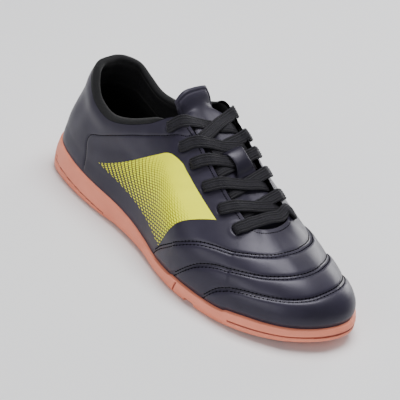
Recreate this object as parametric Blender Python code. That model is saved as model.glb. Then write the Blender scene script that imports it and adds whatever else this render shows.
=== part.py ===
"""Right indoor soccer shoe, empty, standing on its sole: CAD solids for each subcomponent.

Frame: +X toe, +Y the medial (inner) side, +Z up, origin on the floor under the middle of the sole.
Metres. The upper is one hollow wall lofted round the foot from rays that climb from the feather
line, inside the sole's cup, to the edge of the collar and throat.
"""
import bpy
import bmesh
import numpy as np
from mathutils import Vector

# main sizes of the shoe, metres
LENGTH = 0.290
BALL_WIDTH = 0.108
HEEL_WALL = 0.027
COLLAR_HEIGHT = 0.093
INSTEP_HEIGHT = 0.104
GAP = 0.0003

# walls
LIP_THICK = 0.0024
WALL = 0.0020
COLLAR_PAD = 0.0060
INSOLE_THICK = 0.0035
TONGUE_THICK = 0.0045
TONGUE_DROP = 0.0036

# lace ribbon
LACE_WIDE = 0.0085
LACE_THICK = 0.0017

# points that a cut leaves closer than this are one point
WELD = 0.00002

# counts round the shoe and up the rays
FINE = 1440
COLUMNS = 80
OUTER_ROWS = 18
INNER_ROWS = 11

# stations round the shoe, from the back of the heel along the outer side to the toe and back:
# along and across place the sole's top edge (shares of LENGTH from the heel, of BALL_WIDTH);
# lip is the height of that edge (share of HEEL_WALL); x, y, z place the edge of the collar and
# throat (shares of LENGTH from the middle, of BALL_WIDTH, and of COLLAR_HEIGHT where heel is 1,
# of INSTEP_HEIGHT where heel is 0); out is the lean of the wall over the sole's edge and rise how
# far it holds; top is the slope where the wall arrives and run how far (degrees, shares of the ray)
STATIONS = (
    ("along", "across", "lip", "x", "y", "z", "heel", "out", "rise", "top", "run"),
    (0.000, -0.020, 1.000, -0.434, 0.009, 1.003, 1.00, 2, 0.36, 80, 0.30),
    (0.012, -0.150, 0.990, -0.429, -0.083, 1.001, 1.00, 3, 0.36, 80, 0.30),
    (0.041, -0.259, 0.950, -0.405, -0.171, 0.976, 1.00, 3, 0.36, 82, 0.30),
    (0.097, -0.315, 0.870, -0.371, -0.236, 0.898, 1.00, 2, 0.36, 84, 0.30),
    (0.166, -0.347, 0.790, -0.331, -0.264, 0.823, 1.00, 1, 0.36, 84, 0.30),
    (0.241, -0.361, 0.735, -0.276, -0.278, 0.789, 0.90, 1, 0.36, 84, 0.30),
    (0.321, -0.361, 0.675, -0.214, -0.269, 0.830, 0.70, 2, 0.36, 82, 0.30),
    (0.397, -0.375, 0.580, -0.155, -0.241, 0.897, 0.40, 4, 0.36, 78, 0.30),
    (0.466, -0.407, 0.460, -0.103, -0.206, 0.967, 0.15, 6, 0.38, 70, 0.32),
    (0.517, -0.444, 0.390, -0.067, -0.171, 1.000, 0.00, 8, 0.38, 60, 0.34),
    (0.569, -0.477, 0.385, -0.024, -0.157, 0.963, 0.00, 10, 0.38, 52, 0.36),
    (0.621, -0.500, 0.405, 0.034, -0.160, 0.868, 0.00, 12, 0.38, 46, 0.38),
    (0.672, -0.500, 0.395, 0.097, -0.163, 0.762, 0.00, 13, 0.38, 42, 0.38),
    (0.728, -0.486, 0.375, 0.155, -0.157, 0.663, 0.00, 13, 0.38, 38, 0.38),
    (0.786, -0.463, 0.400, 0.203, -0.139, 0.593, 0.00, 13, 0.38, 34, 0.38),
    (0.841, -0.417, 0.480, 0.226, -0.111, 0.567, 0.00, 13, 0.36, 30, 0.40),
    (0.893, -0.343, 0.505, 0.234, -0.077, 0.558, 0.00, 12, 0.34, 26, 0.42),
    (0.938, -0.255, 0.535, 0.240, -0.044, 0.556, 0.00, 11, 0.33, 24, 0.43),
    (0.972, -0.139, 0.565, 0.242, -0.009, 0.554, 0.00, 10, 0.32, 22, 0.44),
    (0.995, 0.010, 0.585, 0.244, 0.028, 0.553, 0.00, 7, 0.315, 26, 0.44),
    (0.996, 0.170, 0.585, 0.243, 0.065, 0.554, 0.00, 5, 0.312, 28, 0.44),
    (0.965, 0.300, 0.560, 0.241, 0.100, 0.556, 0.00, 4, 0.318, 31, 0.43),
    (0.914, 0.394, 0.520, 0.238, 0.134, 0.561, 0.00, 0, 0.312, 35, 0.42),
    (0.855, 0.457, 0.460, 0.230, 0.167, 0.572, 0.00, -3, 0.319, 41, 0.40),
    (0.793, 0.491, 0.410, 0.207, 0.194, 0.601, 0.00, -3, 0.344, 43, 0.38),
    (0.731, 0.503, 0.390, 0.152, 0.204, 0.678, 0.00, -1, 0.364, 43, 0.38),
    (0.669, 0.489, 0.385, 0.090, 0.208, 0.779, 0.00, 0, 0.369, 48, 0.38),
    (0.603, 0.452, 0.390, 0.028, 0.216, 0.885, 0.00, 0, 0.371, 53, 0.36),
    (0.541, 0.398, 0.410, -0.034, 0.231, 0.971, 0.00, 0, 0.372, 60, 0.34),
    (0.479, 0.345, 0.450, -0.078, 0.255, 1.000, 0.00, 1, 0.372, 68, 0.32),
    (0.417, 0.299, 0.530, -0.124, 0.278, 0.943, 0.15, 3, 0.36, 74, 0.30),
    (0.355, 0.278, 0.610, -0.176, 0.296, 0.848, 0.40, 2, 0.36, 80, 0.30),
    (0.293, 0.281, 0.680, -0.241, 0.299, 0.782, 0.70, 1, 0.36, 84, 0.30),
    (0.224, 0.301, 0.740, -0.314, 0.294, 0.776, 0.90, 1, 0.36, 84, 0.30),
    (0.155, 0.318, 0.790, -0.366, 0.282, 0.854, 1.00, 1, 0.36, 84, 0.30),
    (0.093, 0.301, 0.870, -0.398, 0.245, 0.940, 1.00, 2, 0.36, 82, 0.30),
    (0.041, 0.227, 0.950, -0.421, 0.157, 0.990, 1.00, 2, 0.36, 80, 0.30),
    (0.011, 0.110, 0.990, -0.433, 0.083, 1.003, 1.00, 2, 0.36, 80, 0.30),
)

# sole profile along the shoe: floor is the underside (share of HEEL_WALL) with its arch and toe
# spring, bed the top of the cup's floor, flare how far the foot of the wall stands in (+) or out
SOLE_PROFILE = (
    ("along", "floor", "bed", "flare"),
    (0.00, 0.130, 0.500, -0.140),
    (0.03, 0.040, 0.480, -0.080),
    (0.08, 0.000, 0.450, 0.010),
    (0.27, 0.000, 0.400, 0.040),
    (0.34, 0.045, 0.360, 0.050),
    (0.46, 0.045, 0.290, 0.050),
    (0.54, 0.000, 0.250, 0.050),
    (0.72, 0.000, 0.240, 0.050),
    (0.80, 0.040, 0.260, 0.050),
    (0.88, 0.110, 0.310, 0.050),
    (0.95, 0.220, 0.400, 0.030),
    (1.00, 0.350, 0.500, -0.070),
)


def clear_scene():
    """Start from no objects at all."""
    for thing in list(bpy.data.objects):
        bpy.data.objects.remove(thing, do_unlink=True)


def column(rows, name):
    """One named column of a table."""
    where = rows[0].index(name)
    return np.array([row[where] for row in rows[1:]], float)


def along_profile(name, share):
    """A sole profile column at shares of the length, eased between rows."""
    keys = column(SOLE_PROFILE, "along")
    values = column(SOLE_PROFILE, name)
    steps = np.diff(values) / np.diff(keys)
    rising = steps[:-1] * steps[1:] > 0
    total = np.where(rising, steps[:-1] + steps[1:], 1.0)
    slopes = np.concatenate([steps[:1], np.where(rising, 2 * steps[:-1] * steps[1:] / total, 0.0), steps[-1:]])
    share = np.clip(share, 0.0, 1.0)
    cell = np.clip(np.searchsorted(keys, share, side="right") - 1, 0, len(keys) - 2)
    return hermite(keys, values, slopes, cell, share)


def hermite(keys, values, slopes, cell, at):
    """Cubic between two keys with the slopes held at both."""
    wide = keys[cell + 1] - keys[cell]
    u = (at - keys[cell]) / wide
    first = (1 + 2 * u) * (1 - u) ** 2 * values[cell] + u * (1 - u) ** 2 * wide * slopes[cell]
    second = u ** 2 * (3 - 2 * u) * values[cell + 1] + u ** 2 * (u - 1) * wide * slopes[cell + 1]
    return first + second


def round_values(keys, values, soft):
    """A station column carried smoothly round the shoe at FINE even steps."""
    many = len(keys)
    long_keys = np.concatenate([keys - 1.0, keys, keys + 1.0])
    long_values = np.concatenate([values, values, values])
    slopes = np.zeros(len(long_keys))
    slopes[1:-1] = (long_values[2:] - long_values[:-2]) / (long_keys[2:] - long_keys[:-2])
    at = np.arange(FINE) / FINE
    cell = np.clip(np.searchsorted(long_keys, at, side="right") - 1, 1, 3 * many - 3)
    line = hermite(long_keys, long_values, slopes, cell, at)
    reach = np.minimum(np.arange(FINE), FINE - np.arange(FINE)) / FINE
    weight = np.exp(-0.5 * (reach / soft) ** 2)
    weight = weight / weight.sum()
    return np.real(np.fft.ifft(np.fft.fft(line) * np.fft.fft(weight)))


def even_ring():
    """Sole's top edge at even steps of its own length, and where each station falls on it."""
    xs = (column(STATIONS, "along") - 0.5) * LENGTH
    ys = column(STATIONS, "across") * BALL_WIDTH
    step = np.hypot(np.roll(xs, -1) - xs, np.roll(ys, -1) - ys)
    keys = np.concatenate([[0.0], np.cumsum(step)])
    keys = keys[:-1] / keys[-1]
    for again in range(3):
        line_x = round_values(keys, xs, 0.008)
        line_y = round_values(keys, ys, 0.008)
        run = np.hypot(np.roll(line_x, -1) - line_x, np.roll(line_y, -1) - line_y)
        length = np.concatenate([[0.0], np.cumsum(run)])
        length = length / length[-1]
        keys = np.interp(keys, np.arange(FINE + 1) / FINE, length)
        keys = keys - keys[0]
    return line_x, line_y, keys


RING_X, RING_Y, KEYS = even_ring()


def side_normal(xs, ys):
    """Unit outward normals of a closed plan line that runs heel, outer side, toe, inner side."""
    dx = np.roll(xs, -1) - np.roll(xs, 1)
    dy = np.roll(ys, -1) - np.roll(ys, 1)
    size = np.hypot(dx, dy)
    return dy / size, -dx / size


NORMAL_X, NORMAL_Y = side_normal(RING_X, RING_Y)


def station(name, soft=0.008):
    """A named station column at FINE even steps round the shoe."""
    return round_values(KEYS, column(STATIONS, name), soft)


# the side wall steps up where the outer wing and the toe guard begin: from and to are shares
# round the sole's edge, raise a share of HEEL_WALL
LIP_STEPS = (
    ("from", "to", "raise"),
    (0.290, 0.662, 0.040),
    (0.370, 0.610, 0.045),
)


def lip_steps(s):
    """Height the steps add to the sole's top edge."""
    added = np.zeros_like(s)
    for start, end, raised in LIP_STEPS[1:]:
        ramp = np.clip((s - start) / 0.005, 0, 1) * np.clip((end - s) / 0.005, 0, 1)
        added = added + raised * ramp * ramp * (3 - 2 * ramp)
    return added


LIP = (station("lip", 0.004) + lip_steps(np.arange(FINE) / FINE)) * HEEL_WALL
SHARE = RING_X / LENGTH + 0.5
FLOOR = along_profile("floor", SHARE) * HEEL_WALL
BED = along_profile("bed", SHARE) * HEEL_WALL
FLARE = along_profile("flare", SHARE) * HEEL_WALL

TOP = np.column_stack([
    station("x", 0.004) * LENGTH,
    station("y", 0.004) * BALL_WIDTH,
    station("z", 0.004) * (station("heel") * COLLAR_HEIGHT + (1 - station("heel")) * INSTEP_HEIGHT),
])
OUT = np.radians(station("out"))
RISE = station("rise")
SLOPE = np.radians(station("top"))
RUN = station("run")

FOOT = np.column_stack([
    RING_X - NORMAL_X * (LIP_THICK + GAP),
    RING_Y - NORMAL_Y * (LIP_THICK + GAP),
    LIP + GAP,
])


def top_inward():
    """Unit plan direction into the opening, square to its edge."""
    nx, ny = side_normal(TOP[:, 0], TOP[:, 1])
    reach = np.minimum(np.arange(FINE), FINE - np.arange(FINE)) / FINE
    weight = np.exp(-0.5 * (reach / 0.012) ** 2)
    weight = np.fft.fft(weight / weight.sum())
    nx = np.real(np.fft.ifft(np.fft.fft(nx) * weight))
    ny = np.real(np.fft.ifft(np.fft.fft(ny) * weight))
    size = np.hypot(nx, ny)
    return -nx / size, -ny / size


INWARD_X, INWARD_Y = top_inward()


def plain_skin(s, t):
    """Smooth outer face of the upper: s round the shoe (0 to 1), t up the ray (0 to 1)."""
    s = np.asarray(s, float) % 1.0
    t = np.asarray(t, float)
    at = s * FINE
    low = np.floor(at).astype(int) % FINE
    high = (low + 1) % FINE
    part = (at - np.floor(at))

    def pick(line):
        if line.ndim == 2:
            return line[low] * (1 - part)[..., None] + line[high] * part[..., None]
        return line[low] * (1 - part) + line[high] * part

    start = pick(FOOT)
    end = pick(TOP)
    reach = np.linalg.norm(end - start, axis=-1)
    out = pick(OUT)
    rise = pick(RISE) * reach
    first = start + np.stack([
        rise * np.sin(out) * pick(NORMAL_X),
        rise * np.sin(out) * pick(NORMAL_Y),
        rise * np.cos(out),
    ], axis=-1)
    slope = pick(SLOPE)
    run = pick(RUN) * reach
    second = end - np.stack([
        run * np.cos(slope) * pick(INWARD_X),
        run * np.cos(slope) * pick(INWARD_Y),
        run * np.sin(slope),
    ], axis=-1)
    u = t[..., None]
    return (1 - u) ** 3 * start + 3 * u * (1 - u) ** 2 * first + 3 * u ** 2 * (1 - u) * second + u ** 3 * end


# padded bands of the vamp: each seam climbs from the sole on the outer side, crosses the vamp and
# comes down on the inner side; round is the share of the way round the sole's edge, up the share
# of the ray from the sole to the throat
SEAMS = (
    (
        ("round", "up"),
        (0.247, -0.020), (0.260, 0.073), (0.283, 0.193), (0.301, 0.293), (0.317, 0.397),
        (0.332, 0.490), (0.346, 0.557), (0.360, 0.610), (0.376, 0.657), (0.391, 0.697),
        (0.413, 0.730), (0.438, 0.753), (0.466, 0.777), (0.506, 0.793), (0.548, 0.773),
        (0.583, 0.717), (0.612, 0.630), (0.638, 0.500), (0.663, 0.340), (0.690, 0.160),
        (0.715, -0.020),
    ),
    (
        ("round", "up"),
        (0.291, -0.020), (0.301, 0.043), (0.316, 0.160), (0.331, 0.277), (0.347, 0.373),
        (0.360, 0.430), (0.378, 0.470), (0.394, 0.497), (0.412, 0.513), (0.433, 0.537),
        (0.453, 0.553), (0.481, 0.577), (0.506, 0.593), (0.535, 0.587), (0.569, 0.523),
        (0.598, 0.430), (0.620, 0.330), (0.645, 0.190), (0.672, -0.020),
    ),
    (
        ("round", "up"),
        (0.338, -0.020), (0.345, 0.047), (0.354, 0.137), (0.365, 0.220), (0.378, 0.263),
        (0.391, 0.287), (0.403, 0.297), (0.422, 0.307), (0.438, 0.313), (0.453, 0.320),
        (0.472, 0.337), (0.493, 0.367), (0.515, 0.380), (0.544, 0.350), (0.570, 0.280),
        (0.590, 0.190), (0.606, 0.090), (0.622, -0.020),
    ),
)
PUFF = 0.0013
SEAM_DIP = 0.0006
COLLAR_ROLL = 0.0016
COLLAR_FROM = 0.785
COLLAR_TO = 0.222


def seam_up(seam, s):
    """Height of a seam up the ray at shares round the shoe; below the sole's edge outside it."""
    keys = column(seam, "round")
    values = column(seam, "up")
    slopes = np.gradient(values, keys)
    inside = np.clip(s, keys[0], keys[-1])
    cell = np.clip(np.searchsorted(keys, inside, side="right") - 1, 0, len(keys) - 2)
    height = hermite(keys, values, slopes, cell, inside)
    return np.maximum(height - 5.0 * np.abs(s - inside), -0.2)


def ease(x):
    """Smooth step from 0 to 1."""
    x = np.clip(x, 0.0, 1.0)
    return x * x * (3 - 2 * x)


def collar_share(s):
    """1 round the padded collar, easing to 0 at the front corners of the throat."""
    s = s % 1.0
    outer = ease((COLLAR_TO + 0.012 - s) / 0.03)
    inner = ease((s - COLLAR_FROM + 0.012) / 0.03)
    return np.where(s < 0.5, outer, inner)


def relief(s, t):
    """Puffed vamp bands, their seams, the collar roll and the doubled throat edge."""
    s = np.asarray(s, float) % 1.0
    top = seam_up(SEAMS[0], s)
    middle = seam_up(SEAMS[1], s)
    low = seam_up(SEAMS[2], s)
    edges = (top, middle, low, np.full_like(s, -0.04))
    height = np.zeros_like(s)
    for upper_edge, lower_edge in zip(edges[:-1], edges[1:]):
        wide = np.maximum(upper_edge - lower_edge, 0.02)
        u = (t - lower_edge) / wide
        inside = (u > 0) & (u < 1) & (upper_edge > 0)
        bow = np.clip(4 * u * (1 - u), 0, 1) ** 0.7
        size = PUFF * ease(wide / 0.22)
        height = np.where(inside, np.maximum(height, bow * size), height)
    for edge in (top, middle, low):
        near = np.exp(-0.5 * ((t - edge) / 0.016) ** 2)
        height = height - SEAM_DIP * near * (edge > 0.0)
    roll = np.exp(-0.5 * ((t - 0.86) / 0.10) ** 2) * COLLAR_ROLL
    return (height + roll * collar_share(s)) * ease(t / 0.06)


def skin(s, t, lift=0.0):
    """Outer face of the upper with its relief, and its outward normals."""
    s = np.asarray(s, float)
    t = np.asarray(t, float)
    ds = 0.0015
    low = np.clip(t - 0.01, 0.0, 1.0)
    high = np.clip(t + 0.01, 0.0, 1.0)
    around = plain_skin(s + ds, t) - plain_skin(s - ds, t)
    upward = plain_skin(s, high) - plain_skin(s, low)
    normal = np.cross(around, upward)
    normal = normal / np.linalg.norm(normal, axis=-1, keepdims=True)
    depth = relief(s, t) + lift
    return plain_skin(s, t) + normal * np.asarray(depth)[..., None], normal


def wall_thickness(s, t):
    """Leather wall, thickened by the foam of the collar."""
    pad = collar_share(s) * ease((t - 0.45) / 0.35)
    return WALL + (COLLAR_PAD - WALL) * pad


def material(name, colour, rough, coat=0.0):
    """A Principled material of its own for one node."""
    made = bpy.data.materials.new(name)
    made.use_nodes = True
    shader = made.node_tree.nodes["Principled BSDF"]
    shader.inputs["Base Color"].default_value = (*colour, 1.0)
    shader.inputs["Roughness"].default_value = rough
    shader.inputs["Coat Weight"].default_value = coat
    return made


def solid(name, points, faces, look):
    """One closed mesh node, faces turned outward, in its own material."""
    mesh = bpy.data.meshes.new(name)
    mesh.from_pydata([tuple(p) for p in points], [], faces)
    mesh.update()
    work = bmesh.new()
    work.from_mesh(mesh)
    bmesh.ops.recalc_face_normals(work, faces=work.faces)
    work.to_mesh(mesh)
    work.free()
    mesh.materials.append(look)
    thing = bpy.data.objects.new(name, mesh)
    bpy.context.scene.collection.objects.link(thing)
    return thing


def ring_faces(first, second, many):
    """Quads between two closed rings of the same count."""
    return [(first + k, first + (k + 1) % many, second + (k + 1) % many, second + k)
            for k in range(many)]


def ladder_faces(first, many):
    """Rungs across a closed ring, from the heel end to the toe end."""
    half = many // 2
    faces = [(first, first + 1, first + many - 1)]
    for k in range(1, half - 1):
        faces.append((first + k, first + k + 1, first + many - k - 1))
        faces.append((first + k, first + many - k - 1, first + many - k))
    faces.append((first + half - 1, first + half, first + half + 1))
    return faces


def at_columns(line, many=COLUMNS):
    """A FINE line read at the columns."""
    step = FINE // many
    return line[::step]


def build_upper():
    """Hollow wall: outer face, rolled rim, inner face, foot inside the sole's cup."""
    s = np.arange(COLUMNS) / COLUMNS
    rings = []
    foot = at_columns(FOOT)
    bed = at_columns(BED) + GAP
    rings.append(np.column_stack([foot[:, 0], foot[:, 1], bed]))
    for t in np.linspace(0, 1, OUTER_ROWS):
        rings.append(skin(s, np.full(COLUMNS, t))[0])
    rim, normal = skin(s, np.full(COLUMNS, 1.0))
    thick = wall_thickness(s, np.full(COLUMNS, 1.0))[:, None]
    below = skin(s, np.full(COLUMNS, 0.97))[0]
    climb = rim - below
    climb = climb / np.linalg.norm(climb, axis=1, keepdims=True)
    rings.append(rim - normal * thick * 0.22 + climb * thick * 0.30)
    rings.append(rim - normal * thick * 0.78 + climb * thick * 0.30)
    for t in np.linspace(1, 0, INNER_ROWS):
        face, normal = skin(s, np.full(COLUMNS, t))
        if t == 0:
            normal = np.column_stack([at_columns(NORMAL_X), at_columns(NORMAL_Y), np.zeros(COLUMNS)])
        rings.append(face - normal * wall_thickness(s, np.full(COLUMNS, t))[:, None])
    inner = rings[-1]
    rings.append(np.column_stack([inner[:, 0], inner[:, 1], bed]))
    faces = []
    for k in range(len(rings)):
        faces += ring_faces(k * COLUMNS, ((k + 1) % len(rings)) * COLUMNS, COLUMNS)
    return solid("upper", np.vstack(rings), faces, material("upper_leather", (0.012, 0.012, 0.016), 0.42, 0.25))


# grooves round the main tread zones of the underside, as closed lines: along is the share of
# LENGTH from the heel, across the share of BALL_WIDTH (+ inner side)
TREAD_ZONES = (
    (
        ("along", "across"),
        (0.125, -0.130), (0.205, -0.020), (0.195, 0.195), (0.300, 0.185), (0.410, 0.190),
        (0.520, 0.250), (0.570, 0.190), (0.480, 0.000), (0.350, -0.090), (0.230, -0.150),
    ),
    (
        ("along", "across"),
        (0.265, -0.200), (0.360, -0.150), (0.460, -0.060), (0.545, 0.040), (0.580, -0.080),
        (0.540, -0.300), (0.440, -0.285), (0.340, -0.270),
    ),
    (
        ("along", "across"),
        (0.645, 0.020), (0.700, 0.190), (0.760, 0.370), (0.850, 0.335), (0.925, 0.190),
        (0.935, 0.010), (0.890, -0.190), (0.810, -0.330), (0.710, -0.380), (0.640, -0.300),
        (0.615, -0.120),
    ),
)
PIVOT = (0.645, 0.270)
PIVOT_RADII = (0.006, 0.0125)
PIVOT_SIDES = 14
HEEL_BAR = (0.052, -0.120)
HEEL_BAR_SIZE = (0.0030, 0.0095)
TREAD_WIDE = 0.0016
TREAD_DEEP = 0.0014

# grooves and notches of the side wall: from and to are shares round the edge, the heights are
# shares of the wall from the floor to its top edge
SIDE_GROOVES = (
    ("from", "to", "low_from", "low_to"),
    (0.016, 0.052, 0.640, 0.470),
    (0.030, 0.080, 0.380, 0.300),
    (0.060, 0.150, 0.330, 0.160),
    (0.378, 0.602, 0.420, 0.420),
    (0.300, 0.304, 0.150, 0.800),
    (0.910, 0.960, 0.330, 0.560),
    (0.850, 0.935, 0.160, 0.330),
)
SIDE_WIDE = 0.0012
SIDE_DEEP = 0.0010
EDGE_NOTCHES = (
    ("from", "to"),
    (0.318, 0.334),
    (0.648, 0.664),
)
NOTCH_DEEP = 0.006
NOTCH_HIGH = 0.0015


def wall_point(s, up, outward=0.0):
    """A point on the sole's side wall: share round, share up, metres outward."""
    at = int(round((s % 1.0) * FINE)) % FINE
    lean = -FLARE[at] * (1 - up) + 0.0012 * np.sin(np.pi * min(max(up, 0.0), 1.0)) + outward
    height = FLOOR[at] + (LIP[at] - FLOOR[at]) * up
    return np.array([RING_X[at] + NORMAL_X[at] * lean, RING_Y[at] + NORMAL_Y[at] * lean, height])


def wall_ring(up, outward=0.0, lift=0.0):
    """A ring of the side wall at the columns."""
    points = [wall_point(k / COLUMNS, up, outward) for k in range(COLUMNS)]
    return np.array(points) + np.array([0.0, 0.0, lift])


def inset_ring(inset, height):
    """A ring of the sole's edge line stepped inward, at the given heights."""
    return np.column_stack([
        at_columns(RING_X - NORMAL_X * inset),
        at_columns(RING_Y - NORMAL_Y * inset),
        height,
    ])


def strip_cutter(name, sections):
    """Closed prism through four-cornered sections, used only to cut and then removed."""
    faces = [(0, 1, 2, 3)]
    for k in range(len(sections) - 1):
        low = k * 4
        for side in range(4):
            after = (side + 1) % 4
            faces.append((low + side, low + after, low + 4 + after, low + 4 + side))
    last = (len(sections) - 1) * 4
    faces.append((last + 3, last + 2, last + 1, last))
    return solid(name, np.vstack(sections), faces, material(name, (0.5, 0.5, 0.5), 0.5))


def loop_cutter(name, line, wide):
    """Closed groove prism that follows a plan line and the rise of the underside."""
    line = np.array(line)
    before = line - np.roll(line, 1, axis=0)
    after = np.roll(line, -1, axis=0) - line
    before = before / np.linalg.norm(before, axis=1, keepdims=True)
    after = after / np.linalg.norm(after, axis=1, keepdims=True)
    mid = before + after
    mid = mid / np.linalg.norm(mid, axis=1, keepdims=True)
    side = np.column_stack([mid[:, 1], -mid[:, 0]])
    turn = np.clip((mid * after).sum(axis=1), 0.6, 1.0)[:, None]
    outer = line + side * wide / 2 / turn
    inner = line - side * wide / 2 / turn
    share = line[:, 0] / LENGTH + 0.5
    deep = along_profile("floor", share) * HEEL_WALL + TREAD_DEEP
    many = len(line)
    low = np.full(many, -0.002)
    points = np.vstack([
        np.column_stack([outer, low]),
        np.column_stack([inner, low]),
        np.column_stack([inner, deep]),
        np.column_stack([outer, deep]),
    ])
    faces = []
    for k in range(4):
        faces += ring_faces(k * many, ((k + 1) % 4) * many, many)
    return solid(name, points, faces, material(name, (0.5, 0.5, 0.5), 0.5))


def dense_loop(points, step):
    """A closed plan line with extra points so no piece is longer than step."""
    points = np.array(points)
    made = []
    for k in range(len(points)):
        start = points[k]
        end = points[(k + 1) % len(points)]
        pieces = max(1, int(np.ceil(np.linalg.norm(end - start) / step)))
        for piece in range(pieces):
            made.append(start + (end - start) * piece / pieces)
    return made


def bake(body):
    """Apply the modifiers of a body, keeping its own material alone."""
    bpy.context.view_layer.update()
    shape = body.evaluated_get(bpy.context.evaluated_depsgraph_get())
    mesh = bpy.data.meshes.new_from_object(shape)
    work = bmesh.new()
    work.from_mesh(mesh)
    bmesh.ops.remove_doubles(work, verts=work.verts, dist=WELD)
    bmesh.ops.dissolve_degenerate(work, edges=work.edges, dist=WELD)
    work.to_mesh(mesh)
    work.free()
    look = body.data.materials[0]
    body.modifiers.clear()
    body.data = mesh
    mesh.materials.clear()
    mesh.materials.append(look)
    for face in mesh.polygons:
        face.material_index = 0


def cut(body, cutters):
    """Cut every cutter out of the body and remove the cutters."""
    for cutter in cutters:
        tool = body.modifiers.new(cutter.name, "BOOLEAN")
        tool.operation = "DIFFERENCE"
        tool.solver = "EXACT"
        tool.object = cutter
    bake(body)
    for cutter in cutters:
        bpy.data.objects.remove(cutter, do_unlink=True)


def tread_cutters():
    """Cutters for the zone grooves, the pivot rings and the heel bar of the underside."""
    made = []
    for number, zone in enumerate(TREAD_ZONES):
        plan = np.column_stack([
            (column(zone, "along") - 0.5) * LENGTH,
            column(zone, "across") * BALL_WIDTH,
        ])
        made.append(loop_cutter("zone_%d" % number, dense_loop(plan, 0.016), TREAD_WIDE))
    turn = np.arange(PIVOT_SIDES) / PIVOT_SIDES * 2 * np.pi
    for number, radius in enumerate(PIVOT_RADII):
        ring = np.column_stack([
            (PIVOT[0] - 0.5) * LENGTH + radius * np.cos(turn),
            PIVOT[1] * BALL_WIDTH + radius * np.sin(turn),
        ])
        made.append(loop_cutter("pivot_%d" % number, ring, TREAD_WIDE))
    bar = np.column_stack([
        (HEEL_BAR[0] - 0.5) * LENGTH + HEEL_BAR_SIZE[0] * np.cos(turn),
        HEEL_BAR[1] * BALL_WIDTH + HEEL_BAR_SIZE[1] * np.sin(turn),
    ])
    made.append(loop_cutter("heel_bar", bar, SIDE_WIDE))
    return made


def side_cutters():
    """Cutters for the grooves and edge notches of the side wall."""
    made = []
    for number, row in enumerate(SIDE_GROOVES[1:]):
        start, end, low_start, low_end = row
        count = max(3, int(abs(end - start) * 80) + 2)
        sections = []
        for u in np.linspace(0, 1, count):
            s = start + (end - start) * u
            up = low_start + (low_end - low_start) * u
            here = wall_point(s, up)
            out = wall_point(s, up, 0.004) - here
            out = out / np.linalg.norm(out)
            ahead = wall_point(end + 0.002, low_end) - wall_point(start, low_start)
            across = np.cross(out, ahead)
            across = across / np.linalg.norm(across) * SIDE_WIDE / 2
            sections.append([
                here - out * SIDE_DEEP - across,
                here - out * SIDE_DEEP + across,
                here + out * 0.004 + across * 1.6,
                here + out * 0.004 - across * 1.6,
            ])
        made.append(strip_cutter("side_%d" % number, sections))
    for number, row in enumerate(EDGE_NOTCHES[1:]):
        start, end = row
        sections = []
        for s in np.linspace(start, end, 3):
            here = wall_point(s, 0.0)
            out = wall_point(s, 0.0, 0.004) - here
            out = out / np.linalg.norm(out)
            drop = np.array([0.0, 0.0, -0.004])
            top = np.array([0.0, 0.0, NOTCH_HIGH])
            sections.append([
                here - out * NOTCH_DEEP + drop,
                here - out * NOTCH_DEEP + top * 0.2,
                here + out * 0.004 + top * 1.2,
                here + out * 0.004 + drop,
            ])
        made.append(strip_cutter("notch_%d" % number, sections))
    return made


def build_sole():
    """Cup sole: underside, side wall with a bulge and bevels, top edge, inside wall, cup floor."""
    lip = at_columns(LIP)
    bed = at_columns(BED)
    rings = [
        wall_ring(0.0, -0.0010),
        wall_ring(0.07, 0.0),
        wall_ring(0.35, 0.0),
        wall_ring(0.70, 0.0),
        wall_ring(0.94, 0.0),
        inset_ring(0.0008, lip),
        inset_ring(LIP_THICK, lip),
        inset_ring(LIP_THICK, bed),
    ]
    faces = []
    for k in range(len(rings) - 1):
        faces += ring_faces(k * COLUMNS, (k + 1) * COLUMNS, COLUMNS)
    faces += ladder_faces(0, COLUMNS)
    faces += ladder_faces((len(rings) - 1) * COLUMNS, COLUMNS)
    body = solid("sole", np.vstack(rings), faces, material("gum_rubber", (0.68, 0.27, 0.17), 0.5))
    cut(body, tread_cutters() + side_cutters())
    return body


def build_insole():
    """Foam footbed with a bevelled edge, lying just above the cup floor."""
    bed = at_columns(BED) + GAP
    inset = LIP_THICK + GAP + WALL + GAP
    rings = [
        inset_ring(inset + 0.0002, bed),
        inset_ring(inset, bed + INSOLE_THICK * 0.7),
        inset_ring(inset + 0.0015, bed + INSOLE_THICK),
    ]
    faces = []
    for k in range(len(rings) - 1):
        faces += ring_faces(k * COLUMNS, (k + 1) * COLUMNS, COLUMNS)
    faces += ladder_faces(0, COLUMNS)
    faces += ladder_faces((len(rings) - 1) * COLUMNS, COLUMNS)
    return solid("insole", np.vstack(rings), faces, material("insole_foam", (0.03, 0.03, 0.035), 0.9))


# tongue rows: outer and inner are the shares round the shoe of the two points a row spans and up
# their share of the ray; beyond them the free end: x (share of LENGTH), y and half its width
# (shares of BALL_WIDTH), height of its outer side, crown and inner side (shares of INSTEP_HEIGHT)
TONGUE_ROWS = (
    ("outer", "inner", "up"),
    (0.408, 0.577, 0.80),
    (0.404, 0.581, 0.90),
    (0.392, 0.592, 1.00),
    (0.372, 0.612, 1.00),
    (0.350, 0.635, 1.00),
    (0.326, 0.660, 1.00),
    (0.302, 0.686, 1.00),
    (0.278, 0.712, 1.00),
    (0.256, 0.736, 1.00),
)
TONGUE_END = (
    ("x", "y", "half", "outer", "crown", "inner"),
    (-0.086, 0.040, 0.150, 0.912, 1.008, 0.925),
    (-0.103, 0.024, 0.144, 0.995, 1.078, 1.040),
    (-0.114, 0.008, 0.136, 1.042, 1.122, 1.108),
)
TONGUE_ACROSS = 9
TONGUE_CROWN = -0.03
TUCK = 0.10


def under_edge(s, t, drop):
    """A point under the throat's wall: on its inner side at share t, stepped down by drop."""
    face, normal = skin(np.array([s]), np.array([t]))
    wall = wall_thickness(np.array([s]), np.array([t]))[0]
    return (face - normal * (wall + drop))[0]


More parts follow.
